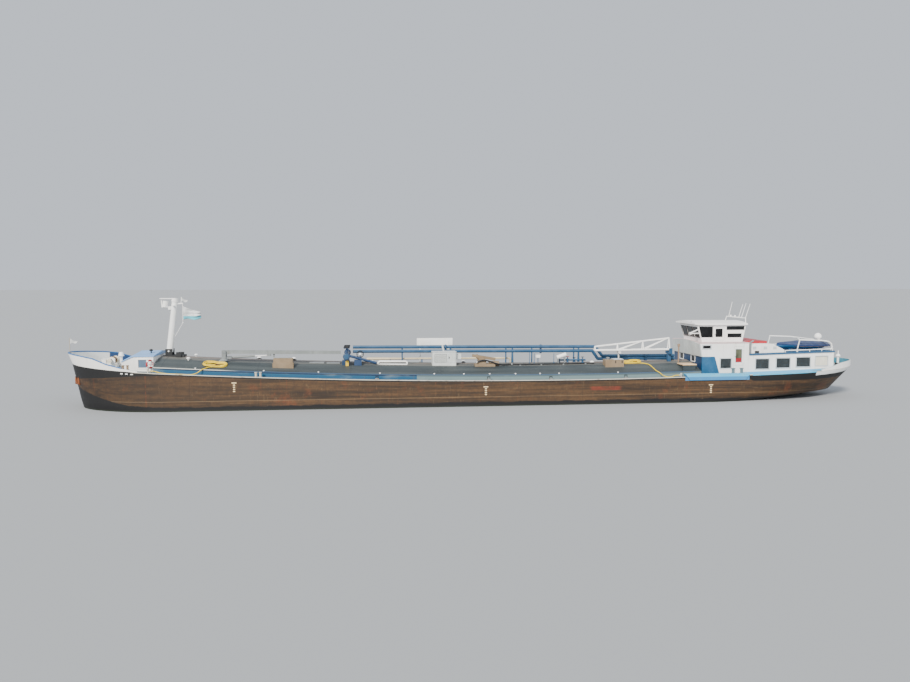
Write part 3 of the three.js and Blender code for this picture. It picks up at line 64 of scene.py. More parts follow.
# Full-size metres (s aft of the stem, y to port, h above the water) to model metres
K = 0.5
MIDSHIP = 27.5
DRAUGHT = 0.9
WATER = DRAUGHT * K
UP = (0, 0, 1)
ACROSS = (0, 1, 0)
BOTH = (1, -1)
SIDES = {"port": 1, "starboard": -1}


def at(s, y, h):
    return Vector(((MIDSHIP - s) * K, y * K, (h + DRAUGHT) * K))


def between(x, table):
    """Value at x in a table of (x, value), straight between its rows."""
    for (x0, v0), (x1, v1) in zip(table, table[1:]):
        if x <= x1:
            return v0 + (v1 - v0) * max(0.0, x - x0) / (x1 - x0)
    return table[-1][1]


SHEER = {"low": 1.65, "at": 32.5, "fore": 0.00112, "aft": 0.00095}
ENTRY = 6.0  # length of the rounded plan at each end of the deck
ENTRY_END, RUN_START = 6.25, 49.0
TRUNK_STATIONS = [6.0 + 36.5 * i / 12 for i in range(13)]
TRUNK_SECTION = [(0, 0.9), (1.4, 0.74), (2.6, 0.33)]  # distance off the middle, height over the side deck
DECK_STATIONS = (
    [ENTRY_END - ENTRY * math.cos(math.radians(10 * i)) for i in range(9)]
    + [ENTRY_END + (RUN_START - ENTRY_END) * i / 12 for i in range(13)]
    + [RUN_START + ENTRY * math.sin(math.radians(10 * i)) for i in range(1, 10)])


def sheer(s):
    return SHEER["low"] + SHEER["fore" if s < SHEER["at"] else "aft"] * (s - SHEER["at"]) ** 2


def chord(s, places):
    """Height of the faceted sheer line that joins its values at the given stations."""
    for s0, s1 in zip(places, places[1:]):
        if s <= s1:
            return sheer(s0) + (sheer(s1) - sheer(s0)) * (s - s0) / (s1 - s0)
    return sheer(s)


def deck(s):
    return chord(s, DECK_STATIONS)


def trunk(s, y):
    return chord(s, TRUNK_STATIONS) + between(abs(y), TRUNK_SECTION)


def half_breadth(s):
    """Half-width of the hull at the deck."""
    fore = min(max((ENTRY_END - s) / ENTRY, 0), 1)
    aft = min(max((s - RUN_START) / ENTRY, 0), 1)
    return 3.3 * (1 - fore ** 2) ** 0.62 * (1 - aft ** 2) ** 0.62


# Camera at the photograph's angle
camera = bpy.data.objects.new("camera", bpy.data.cameras.new("camera"))
bpy.context.scene.collection.objects.link(camera)
bpy.context.scene.camera = camera
camera.data.lens = 30.9
camera.data.sensor_width = 36
camera.data.clip_end = 600
camera.location = (4.00, 26.98, 4.555)
PITCH = math.radians(-4.32)
aim = Vector((-0.1136 * math.cos(PITCH), -0.9935 * math.cos(PITCH), math.sin(PITCH)))
camera.rotation_mode = "QUATERNION"
camera.rotation_quaternion = aim.to_track_quat("-Z", "Y")


def srgb(r, g, b):
    """Linear colour from 0 to 255 display values."""
    shares = (r / 255, g / 255, b / 255)
    return tuple(c / 12.92 if c <= 0.04045 else ((c + 0.055) / 1.055) ** 2.4 for c in shares)


class Graph:
    """A node material under construction. Colours are display values of 0 to 255, or linear with an alpha."""

    def __init__(self, name, colour=None):
        self.material = bpy.data.materials.new(name)
        self.material.use_nodes = True
        self.tree = self.material.node_tree
        self.tree.nodes.clear()
        self.shader = self.node("ShaderNodeBsdfPrincipled")
        out = self.node("ShaderNodeOutputMaterial")
        self.tree.links.new(self.shader.outputs[0], out.inputs["Surface"])
        self.place = self.node("ShaderNodeTexCoord").outputs["Object"]
        self.x, self.y, self.z = self.parts(self.place)
        self.colour = colour

    def node(self, kind, **settings):
        made = self.tree.nodes.new(kind)
        for key, value in settings.items():
            setattr(made, key, value)
        return made

    def feed(self, socket, value):
        if isinstance(value, bpy.types.NodeSocket):
            self.tree.links.new(value, socket)
        elif isinstance(value, tuple):
            socket.default_value = value if len(value) == 4 else (*srgb(*value), 1)
        else:
            socket.default_value = value

    def parts(self, vector):
        made = self.node("ShaderNodeSeparateXYZ")
        self.feed(made.inputs[0], vector)
        return made.outputs

    def math(self, operation, a, b=0.0, clamp=False):
        made = self.node("ShaderNodeMath", operation=operation, use_clamp=clamp)
        self.feed(made.inputs[0], a)
        self.feed(made.inputs[1], b)
        return made.outputs[0]

    def times(self, a, b):
        return self.math("MULTIPLY", a, b)

    def plus(self, a, b):
        return self.math("ADD", a, b)

    def minus(self, a, b):
        return self.math("SUBTRACT", a, b)

    def most(self, a, b):
        return self.math("MAXIMUM", a, b)

    def step(self, value, low, high):
        """0 below low and 1 above high, smooth between; low may lie above high to turn it round."""
        made = self.node("ShaderNodeMapRange", interpolation_type="SMOOTHSTEP")
        for i, v in enumerate([value, low, high, 0.0, 1.0]):
            self.feed(made.inputs[i], v)
        return made.outputs[0]

    def both(self, *masks):
        out = masks[0]
        for mask in masks[1:]:
            out = self.times(out, mask)
        return out

    def band(self, value, low, high, soft=0.004):
        return self.both(self.step(value, low - soft, low + soft), self.step(value, high + soft, high - soft))

    def noise(self, scale, stretch=(1, 1, 1), detail=5, rough=0.6, shift=0.0):
        """Cloudy 0 to 1 pattern; a stretch under 1 draws it out along that axis."""
        mapping = self.node("ShaderNodeMapping")
        self.feed(mapping.inputs["Vector"], self.place)
        mapping.inputs["Scale"].default_value = stretch
        mapping.inputs["Location"].default_value = (shift, shift * 1.7, shift * 0.6)
        made = self.node("ShaderNodeTexNoise")
        self.feed(made.inputs["Vector"], mapping.outputs[0])
        made.inputs["Scale"].default_value = scale
        made.inputs["Detail"].default_value = detail
        made.inputs["Roughness"].default_value = rough
        return made.outputs[0]

    def cloud(self, low, high, *how, **more):
        """Patches: where a noise lies above low, fully above high."""
        return self.step(self.noise(*how, **more), low, high)

    def mix(self, share, a, b):
        made = self.node("ShaderNodeMix", data_type="RGBA")
        for i, value in [(0, share), (6, a), (7, b)]:
            self.feed(made.inputs[i], value)
        return made.outputs[2]

    def tint(self, mask, colour, share=None):
        """Lays a colour over the graph's own where the mask is 1, as strongly as the share."""
        self.colour = self.mix(mask if share is None else self.times(mask, share), self.colour, colour)

    def patchy(self, colour, share, *cloud, **more):
        self.tint(self.cloud(*cloud, **more), colour, share)

    def normal(self):
        return self.parts(self.node("ShaderNodeNewGeometry").outputs["Normal"])

    def facing_up(self, low, high):
        return self.step(self.normal()[2], low, high)

    def over_deck(self):
        """Height over the sheer of the deck, in model metres."""
        along = self.plus(self.x, (SHEER["at"] - MIDSHIP) * K)
        halves = []
        for pick, half in [("MAXIMUM", "fore"), ("MINIMUM", "aft")]:
            reach = self.math(pick, along, 0.0)
            halves.append(self.times(self.times(reach, reach), SHEER[half] / K))
        return self.minus(self.z, self.plus(self.plus(*halves), (SHEER["low"] + DRAUGHT) * K))

    def done(self, rough=0.5, bump=None, depth=0.002, metal=0.0):
        self.feed(self.shader.inputs["Base Color"], self.colour)
        self.feed(self.shader.inputs["Roughness"], rough)
        self.feed(self.shader.inputs["Metallic"], metal)
        if bump is not None:
            made = self.node("ShaderNodeBump")
            made.inputs["Strength"].default_value = 0.6
            made.inputs["Distance"].default_value = depth
            self.feed(made.inputs["Height"], bump)
            self.feed(self.shader.inputs["Normal"], made.outputs[0])
        return self.material


RUST = (120, 62, 30)
DIRT = (70, 66, 60)


def weathered(g, rgb, dirt, rust):
    """Paint with blotches, run-down dirt, rust spots and drips, in a graph."""
    light = tuple(min(1.0, c * 1.18 + 0.02) for c in srgb(*rgb)) + (1,)
    colour = g.mix(g.cloud(0.35, 0.75, 3.0, detail=6), rgb, light)
    runs = g.cloud(0.52, 0.78, 9.0, (1, 1, 0.12), shift=3.1)
    colour = g.mix(g.times(runs, 0.5 * dirt), colour, DIRT)
    spots = g.cloud(0.66, 0.74, 14.0, detail=8, rough=0.7, shift=7.7)
    drips = g.cloud(0.66, 0.8, 16.0, (1, 1, 0.08), shift=1.3)
    return g.mix(g.times(g.most(spots, g.times(drips, 0.8)), rust), colour, RUST)


def paint(name, rgb, dirt, rust, rough=0.45):
    g = Graph(name)
    g.colour = weathered(g, rgb, dirt, rust)
    gloss = g.cloud(0.2, 0.9, 6.0, shift=2.0)
    return g.done(g.plus(g.times(gloss, 0.25), rough - 0.1), g.noise(45.0, detail=6), 0.0015)


WHITE = paint("white_paint", (252, 251, 246), 0.3, 0.2)
CREAM = paint("cream_paint", (204, 190, 158), 0.5, 0.3)
GREY = paint("grey_paint", (124, 129, 131), 0.4, 0.2)
PALE_GREY = paint("pale_grey_paint", (202, 206, 203), 0.35, 0.15)
STEEL_BLUE = paint("steel_blue_paint", (38, 80, 114), 0.45, 0.25)
NAVY = paint("navy_paint", (28, 58, 94), 0.35, 0.25)
MID_BLUE = paint("mid_blue_paint", (34, 92, 136), 0.4, 0.2)
PERIWINKLE = paint("periwinkle_paint", (128, 170, 220), 0.35, 0.12)
RED = paint("red_paint", (166, 26, 38), 0.3, 0.1)
BEIGE = paint("beige_paint", (136, 117, 92), 0.5, 0.3)
DARK = paint("dark_steel", (20, 22, 25), 0.3, 0.45, 0.6)
JIB_GREY = paint("jib_grey", (128, 133, 132), 0.45, 0.2)
LIGHT_BEIGE = paint("light_beige", (226, 192, 150), 0.35, 0.2)
PINK_GREY = paint("pinkish_grey", (206, 186, 186), 0.4, 0.15)
PANE_BLUE = paint("panel_blue_grey", (84, 108, 132), 0.3, 0.1)
FRAME_GREY = paint("frame_grey", (196, 202, 204), 0.3, 0.1)
YELLOW = paint("yellow_paint", (226, 186, 40), 0.3, 0.15)
CAP_BLUE = paint("cap_blue", (30, 92, 150), 0.35, 0.15)
MARK_CREAM = paint("mark_cream", (232, 206, 160), 0.4, 0.4)
PINKISH = paint("pinkish_primer", (186, 150, 140), 0.4, 0.3)


def hull_paint():
    """Brown, scuffed sides with a black boot-top, black bands at the ends, painted shade towards the bow and
    under the deck's edge, and a grey side deck.
    """
    g = Graph("hull_paint")
    over = g.over_deck()
    away = g.math("ABSOLUTE", g.y)
    scuff = g.noise(2.4, (0.1, 1, 2.4), 8, 0.66)
    g.colour = g.mix(g.step(scuff, 0.34, 0.66), (41, 29, 17), (92, 66, 39))
    g.patchy((34, 26, 21), 0.55, 0.52, 0.7, 7.0, (0.05, 1, 4.0), 6, shift=4.0)
    g.patchy((138, 110, 74), 0.5, 0.6, 0.76, 5.0, (0.12, 1, 3.0), 7, shift=9.0)
    g.patchy((120, 60, 28), 0.5, 0.56, 0.72, 1.1, detail=9, rough=0.7, shift=2.2)
    g.patchy((128, 60, 24), 0.45, 0.6, 0.74, 5.0, (2.2, 1, 0.1), 6, shift=5.5)
    drip = g.both(g.band(g.plus(g.x, g.times(scuff, 0.05)), 10.92, 10.945, 0.014),
                  g.cloud(0.36, 0.6, 7.0, detail=6, shift=14.0))
    g.tint(drip, (140, 66, 26), 0.7)
    g.patchy((40, 32, 27), 0.42, 0.44, 0.62, 9.0, (0.7, 1, 1), 10, 0.78, 3.3)
    g.patchy((142, 118, 84), 0.38, 0.56, 0.72, 13.0, (1.6, 1, 0.3), 9, 0.75, 10.0)
    # Painted shade: the hull is darkened towards the bow
    g.tint(g.step(g.x, 7.5, 11.5), (30, 20, 13), 0.42)
    scrape = g.both(g.band(g.x, -4.5, -3.5, 0.1), g.band(g.z, 0.93, 1.06, 0.02),
                    g.cloud(0.3, 0.62, 4.0, (0.4, 1, 1.6), 9, 0.7, 2.0))
    g.tint(scrape, (142, 52, 34), 0.6)
    seam = g.band(g.math("FRACT", g.times(g.x, 0.47)), 0.49, 0.497, 0.002)
    g.tint(seam, (38, 28, 22), 0.45)
    weld = g.band(g.plus(g.z, g.times(scuff, 0.012)), 0.772, 0.780, 0.003)
    g.tint(weld, (158, 132, 98), 0.6)
    # Black bands under the deck's edge, deep at both ends, a thin strip of painted shade under the edge along
    # the rest of the hull, and the boot-top
    bow = g.math("POWER", g.times(g.most(g.minus(g.x, 10.0), 0.0), 0.31), 1.6)
    growth = g.times(g.math("MULTIPLY", g.plus(g.x, 9.2), -0.25, clamp=True), 0.12)
    tail = g.times(g.step(g.x, -8.95, -9.25), 0.16)
    depth = g.plus(g.times(bow, 0.36), g.plus(tail, growth))
    # The fixed 0.035 adds a thin strip of painted shade under the deck's edge all along the hull
    edge = g.plus(g.plus(depth, 0.035), g.times(g.minus(scuff, 0.5), 0.1))
    black = g.step(g.plus(over, edge), -0.006, 0.012)
    wave = g.noise(1.6, (1, 1, 0.1), 6, shift=6.0)
    climb = g.times(g.math("POWER", g.most(g.minus(g.x, 10.6), 0.0), 2.0), 0.079)
    boot = g.step(g.minus(g.z, g.plus(climb, g.times(wave, 0.16))), WATER + 0.08, WATER + 0.05)
    worn = g.cloud(0.62, 0.8, 6.0, detail=8, rough=0.7, shift=8.0)
    g.tint(g.most(black, boot), g.mix(g.times(worn, 0.45), (12, 12, 14), (62, 46, 36)))
    g.tint(g.step(g.minus(g.z, g.times(wave, 0.05)), WATER + 0.03, WATER), (40, 48, 34), 0.6)
    # White below the bulwark at the stern
    g.tint(g.both(g.step(over, -0.125, -0.119), g.step(g.x, -11.56, -11.59)), (236, 238, 236))
    # Side deck, its edge bar, the blue ledge and platform, and the bollards
    patch = g.noise(4.0, detail=7, shift=1.0)
    walk = g.mix(g.step(patch, 0.35, 0.7), (92, 106, 114), (132, 142, 144))
    g.tint(g.both(g.facing_up(0.7, 0.9), g.step(over, -0.03, -0.01)), walk)
    cream = g.mix(g.cloud(0.5, 0.75, 12.0, (0.3, 1, 1), shift=3.0), (206, 204, 192), (128, 112, 94))
    g.tint(g.both(g.step(over, 0.004, 0.008), g.step(g.x, 11.4, 11.25)), cream)
    worn_blue = g.step(patch, 0.45, 0.8)
    sky = g.mix(worn_blue, (88, 182, 224), (142, 192, 210))
    ledge = g.both(g.step(over, -0.012, -0.008), g.band(g.x, -11.6, -9.2, 0.01), g.step(away, 1.0, 1.2))
    g.tint(ledge, sky)
    lower = g.mix(worn_blue, (62, 134, 186), (104, 150, 178))
    plate = g.both(g.band(g.x, -9.074, -6.786, 0.002), g.step(away, 1.415, 1.423),
                   g.band(g.z, 1.21, 1.428, 0.002))
    g.tint(plate, g.mix(g.step(g.z, 1.332, 1.338), lower, sky))
    posts = g.mix(g.step(g.x, -8.0, -7.0), (92, 116, 122), (196, 192, 178))
    g.tint(g.both(g.step(over, 0.03, 0.034), g.step(g.z, 1.43, 1.434)), posts)
    # Rust stains where something rubs or drips
    stain = g.both(g.cloud(0.62, 0.7, 9.0, detail=8, rough=0.7, shift=12.0), g.step(over, -0.05, 0.0))
    g.tint(stain, RUST, 0.5)
    dents = g.times(g.noise(1.4, (1, 1, 0.8), 3, shift=5.0), 3.0)
    relief = g.plus(dents, g.times(g.noise(30.0, detail=7), 0.35))
    relief = g.plus(relief, g.times(g.most(seam, weld), 0.35))
    return g.done(g.plus(g.times(scuff, 0.3), 0.5), relief, 0.006)


def trunk_paint():
    """Grey cambered deck, blue coaming forward and pale grey aft, and what is fused on in its own colour."""
    g = Graph("trunk_paint")
    over = g.over_deck()
    away = g.math("ABSOLUTE", g.y)
    streaks = g.noise(2.2, (0.16, 1.6, 1), 8, 0.62)
    slope = g.mix(g.step(streaks, 0.35, 0.7), (50, 58, 61), (74, 81, 82))
    crown = g.mix(g.step(streaks, 0.3, 0.68), (68, 73, 73), (106, 105, 100))
    g.colour = g.mix(g.step(away, 0.66, 0.5), slope, crown)
    centre = g.both(g.step(away, 0.26, 0.2), g.cloud(0.4, 0.6, 3.0, (0.3, 1, 1), shift=3.0))
    g.tint(centre, (132, 117, 108), 0.7)
    g.patchy((46, 52, 55), 0.4, 0.55, 0.68, 1.2, (0.5, 1.4, 1), 8, 0.7, 6.0)
    g.patchy(RUST, 0.45, 0.64, 0.74, 5.0, (0.5, 1, 1), 9, 0.75, 8.0)
    crossing = g.band(g.math("FRACT", g.times(g.x, 0.333)), 0.495, 0.505, 0.002)
    fore_aft = g.most(g.band(away, 0.984, 0.99, 0.002), g.band(away, 0.4, 0.406, 0.002))
    seams = g.most(crossing, fore_aft)
    g.tint(seams, (48, 54, 58), 0.5)
    # Coaming, with painted shade darkening its top above a light line
    top_shade = g.step(over, 0.104, 0.11)
    blue = g.mix(top_shade, (22, 82, 116), (12, 46, 76))
    blue = g.mix(g.band(over, 0.1, 0.108, 0.002), blue, (48, 108, 138))
    pale = g.mix(top_shade, (110, 131, 133), (82, 100, 106))
    side = g.mix(g.step(g.x, 2.33, 2.335), pale, blue)
    fade = g.cloud(0.5, 0.75, 5.0, (0.2, 1, 1), 7, shift=4.0)
    side = g.mix(g.times(fade, 0.35), side, (150, 160, 160))
    drips = g.cloud(0.62, 0.76, 10.0, (1, 1, 0.1), 6, shift=2.0)
    side = g.mix(g.times(drips, 0.35), side, (110, 84, 62))
    g.tint(g.both(g.facing_up(0.75, 0.6), g.step(away, 1.29, 1.297)), side)
    rim = g.both(g.band(away, 1.27, 1.31, 0.004), g.step(over, 0.152, 0.158), g.step(g.x, -7.4, -7.2))
    g.tint(rim, g.mix(g.step(g.x, 8.0, 8.8), (58, 84, 112), (206, 206, 196)))
    # Crane pedestal, boom rest, lamp post and hatch coaming: their extent, foot and colour
    for x0, x1, y0, y1, z0, look in [
            (8.46, 8.84, 0.42, 0.78, 1.944, (160, 166, 168)),
            (-4.95, -4.85, 0.05, 0.4, 1.724, (222, 222, 218)),
            (-7.03, -6.92, 0.5, 0.62, 1.7, (150, 124, 100)),
            (-7.32, -6.88, 0.78, 1.22, 1.664, (84, 70, 58))]:
        inside = g.both(g.band(g.x, x0, x1, 0.001), g.band(g.y, y0, y1, 0.001), g.step(g.z, z0, z0 + 0.004))
        g.tint(inside, look)
    relief = g.plus(g.noise(38.0, detail=7), g.times(g.noise(1.8, detail=3, shift=2.0), 2.0))
    return g.done(g.plus(g.times(streaks, 0.35), 0.42), g.minus(relief, g.times(seams, 0.5)), 0.004)


def bulwark_paint(at_bow):
    """White outside; inside navy and white panels at the bow and teal at the stern, under a plain cap."""
    g = Graph("bow_bulwark_paint" if at_bow else "stern_bulwark_paint")
    ahead, across, _ = g.normal()
    outward = g.plus(g.times(across, g.math("SIGN", g.y)), g.times(ahead, 0.6 if at_bow else -0.6))
    g.colour = weathered(g, (250, 248, 243), 0.36, 0.3)
    lining, cap = (70, 132, 152), (186, 196, 196)
    if at_bow:
        panel = g.mix(g.band(g.x, 12.15, 12.79, 0.01), (226, 228, 226), (30, 62, 106))
        lining, cap = g.mix(g.step(g.x, 12.15, 12.13), panel, (206, 206, 200)), (30, 92, 156)
    g.tint(g.step(outward, 0.05, -0.05), lining)
    g.tint(g.facing_up(0.6, 0.8), cap)
    if at_bow:
        gear = g.both(g.band(g.x, 11.4, 11.75, 0.002), g.step(g.math("ABSOLUTE", g.y), 1.49, 1.485),
                      g.step(g.z, 1.0, 1.01))
        g.tint(gear, (150, 128, 104))
        g.tint(g.both(g.step(g.x, 13.68, 13.7), g.step(g.z, 2.21, 2.215)), (176, 166, 148))
    g.patchy(RUST, 0.4, 0.66, 0.76, 13.0, detail=8, rough=0.7, shift=2.7)
    return g.done(g.plus(g.times(g.noise(8.0), 0.3), 0.3), g.noise(30.0, detail=6), 0.002)


def house_side_paint():
    """White wall with the mid-blue fore panel that slants aft towards its foot."""
    g = Graph("house_side_paint")
    s = g.minus(MIDSHIP, g.times(g.x, 1 / K))
    h = g.minus(g.times(g.z, 1 / K), DRAUGHT)
    slant = g.minus(g.plus(43.54, g.times(g.minus(3.02, h), 0.3)), s)
    g.colour = weathered(g, (250, 249, 244), 0.36, 0.28)
    blue = weathered(g, (30, 88, 126), 0.3, 0.15)
    g.tint(g.both(g.step(slant, 0.0, 0.02), g.step(h, 3.06, 3.04)), blue)
    g.tint(g.both(g.step(g.over_deck(), 0.075, 0.06), g.step(s, 45.4, 45.5)), (112, 178, 214))
    seam = g.band(g.math("FRACT", g.times(g.x, 0.8)), 0.497, 0.503, 0.002)
    relief = g.minus(g.noise(34.0, detail=6), g.times(seam, 0.6))
    relief = g.plus(relief, g.times(g.noise(2.0, detail=2, shift=4.0), 2.0))
    return g.done(g.plus(g.times(g.noise(5.0), 0.25), 0.3), relief, 0.002)


def drum_paint():
    """Cream winch with brown rope wound on its port half."""
    g = Graph("windlass_drum_paint")
    g.colour = weathered(g, (222, 214, 194), 0.5, 0.3)
    turns = g.math("SINE", g.times(g.y, 300.0))
    g.tint(g.band(g.y, 0.012, 0.214, 0.002), g.mix(g.step(turns, -0.6, 0.6), (84, 56, 34), (150, 110, 70)))
    return g.done(0.6, g.plus(g.times(turns, 0.6), g.noise(40.0)), 0.003)


def rusty_metal(name, base, share, metal):
    g = Graph(name, base)
    patches = g.cloud(0.5 - share * 0.2, 0.62, 8.0, detail=9, rough=0.7)
    g.tint(patches, (112, 64, 36))
    return g.done(g.plus(g.times(patches, 0.4), 0.35), g.noise(40.0, detail=7), 0.002, metal)


def glass(name, rgb, see=0.0):
    g = Graph(name, rgb)
    smear = g.noise(5.0, (1, 1, 0.4))
    g.tint(g.step(smear, 0.4, 0.8), tuple(min(255, c + 22) for c in rgb))
    g.shader.inputs["Specular IOR Level"].default_value = 0.4
    g.shader.inputs["Transmission Weight"].default_value = see
    return g.done(g.times(g.step(smear, 0.3, 0.9), 0.12), g.noise(1.5, detail=2), 0.002)


def darker(rgb, share):
    return tuple(int(c * share) for c in rgb)


def weave(name, rgb, scale=420.0, below=None, low=0.0):
    """Woven cloth: two crossed thread waves, blotchy with age, with an optional colour below a height."""
    g = Graph(name, rgb)
    across, along = (g.math("SINE", g.times(axis, scale)) for axis in (g.x, g.z))
    g.patchy(darker(rgb, 0.8), None, 0.3, 0.75, 5.0, detail=7)
    if below:
        g.tint(g.step(g.plus(g.z, g.times(g.noise(2.0), 0.03)), low + 0.01, low), below)
    g.shader.inputs["Sheen Weight"].default_value = 0.3
    return g.done(0.9, g.plus(g.times(across, along), g.times(g.noise(9.0), 2.0)), 0.0012)


def rubber(name, rgb):
    g = Graph(name, rgb)
    worn = g.cloud(0.45, 0.8, 9.0, detail=7)
    g.tint(worn, darker(rgb, 0.72))
    g.patchy((96, 86, 60), 0.35, 0.55, 0.75, 3.0, detail=8, rough=0.7, shift=4.0)
    return g.done(g.plus(g.times(worn, 0.2), 0.45), g.noise(60.0), 0.001)


def rope_fibre(name, rgb):
    """Laid rope: slanted strands from a wave across the surface."""
    g = Graph(name)
    wave = g.node("ShaderNodeTexWave", wave_type="BANDS", bands_direction="DIAGONAL")
    g.feed(wave.inputs["Vector"], g.place)
    wave.inputs["Scale"].default_value = 38.0
    wave.inputs["Distortion"].default_value = 1.5
    lay = wave.outputs[1]
    g.colour = g.mix(lay, darker(rgb, 0.62), rgb)
    g.patchy((86, 72, 54), None, 0.5, 0.8, 20.0, detail=6)
    return g.done(0.85, lay, 0.004)


GLASS = glass("dark_glass", (7, 9, 11))
TINTED = glass("pale_tinted_glass", (96, 106, 110), 0.8)
DOOR_GLASS = glass("olive_glass", (84, 88, 70))
RED_GLASS = glass("red_panel", (150, 32, 40))
BLIND = glass("drawn_blind", (226, 222, 206))
BRASS = rusty_metal("dull_bronze", (150, 112, 52), 0.2, 0.8)
IRON = rusty_metal("rusty_iron", (64, 54, 48), 0.8, 0.3)
ANCHOR_IRON = rusty_metal("anchor_iron", (150, 84, 44), 0.9, 0.1)
GALVANISED = rusty_metal("galvanised", (168, 172, 172), 0.1, 0.5)
HOSE_YELLOW = rubber("yellow_hose", (240, 206, 34))
BLACK_RUBBER = rubber("black_rubber", (34, 34, 36))
ROPE = rope_fibre("brown_rope", (150, 118, 80))
FLAG_CLOTH = weave("flag_cloth", (232, 234, 234), below=(96, 190, 206), low=3.427)
PENNANT_CLOTH = weave("pennant_cloth", (228, 230, 228))
COVER_CLOTH = weave("cover_cloth", (16, 48, 98), 300.0)
CURTAIN_CLOTH = weave("curtain_cloth", (222, 216, 200))

LOOKS = [
    (hull_paint(), "hull_bow hull"), (trunk_paint(), "trunk_deck"), (bulwark_paint(True), "bow_bulwark"),
    (bulwark_paint(False), "stern_bulwark"), (house_side_paint(), "house_side_port house_side_starboard"),
    (drum_paint(), "windlass_drum"), (BRASS, "propeller"), (IRON, "rudder"), (DARK, "mast_stand"),
    (PERIWINKLE, "fore_house_roof"), (GREY, "crane_post exhaust"), (JIB_GREY, "crane_jib crane_cylinder"),
    (PALE_GREY, "pump_housing visor"), (BEIGE, "fore_locker deck_pump aft_locker house_floor"),
    (LIGHT_BEIGE, "hatch_lid"), (STEEL_BLUE, "cargo_pipes boom_stand aft_roof"), (PINK_GREY, "bridge_deck"),
    (NAVY, "manifold house_front"), (MID_BLUE, "dinghy"), (RED, "casing_hatch"),
    (WHITE, "fore_house_walls windlass_frame bow_vent mast crane_rod sign_board boom house_aft engine_casing "
            "house_door_port house_door_starboard wheelhouse_port wheelhouse_starboard wheelhouse_front "
            "wheelhouse_aft wheelhouse_door_port wheelhouse_door_starboard wheelhouse_roof roof_rail "
            "stern_rail satellite_dome"),
]


def softening():
    """A geometry node group that joins loose triangles and rounds the shading across shallow edges."""
    group = bpy.data.node_groups.new("rounded_shading", "GeometryNodeTree")
    group.interface.new_socket("Geometry", in_out="INPUT", socket_type="NodeSocketGeometry")
    group.interface.new_socket("Geometry", in_out="OUTPUT", socket_type="NodeSocketGeometry")
    make, link = group.nodes.new, group.links.new
    start, end = make("NodeGroupInput"), make("NodeGroupOutput")
    strip = make("GeometryNodeRemoveAttribute")
    strip.inputs["Name"].default_value = "custom_normal"
    weld = make("GeometryNodeMergeByDistance")
    weld.inputs["Distance"].default_value = 0.00002
    angle = make("GeometryNodeInputMeshEdgeAngle")
    shallow = make("FunctionNodeCompare")
    shallow.data_type, shallow.operation = "FLOAT", "LESS_THAN"
    shallow.inputs[1].default_value = math.radians(42)
    faces, edges = make("GeometryNodeSetShadeSmooth"), make("GeometryNodeSetShadeSmooth")
    edges.domain = "EDGE"
    for before, after in zip([start, strip, weld, faces, edges], [strip, weld, faces, edges, end]):
        link(before.outputs[0], after.inputs[0])
    link(angle.outputs[0], shallow.inputs[0])
    link(shallow.outputs[0], edges.inputs["Shade Smooth"])
    return group


ROUNDED = softening()

for look, names in LOOKS:
    for node in names.split():
        for slot in nodes[node].material_slots:
            slot.link = "OBJECT"
            slot.material = look
        nodes[node].modifiers.new("rounded", "NODES").node_group = ROUNDED


def round_axes(centre, axis, sides):
    """What a turned body needs: its centre, its axis, two directions square to it and the turn's angles."""
    axis = Vector(axis).normalized()
    u = axis.orthogonal().normalized()
    return Vector(centre), axis, u, axis.cross(u), [2 * math.pi * j / sides for j in range(sides)]


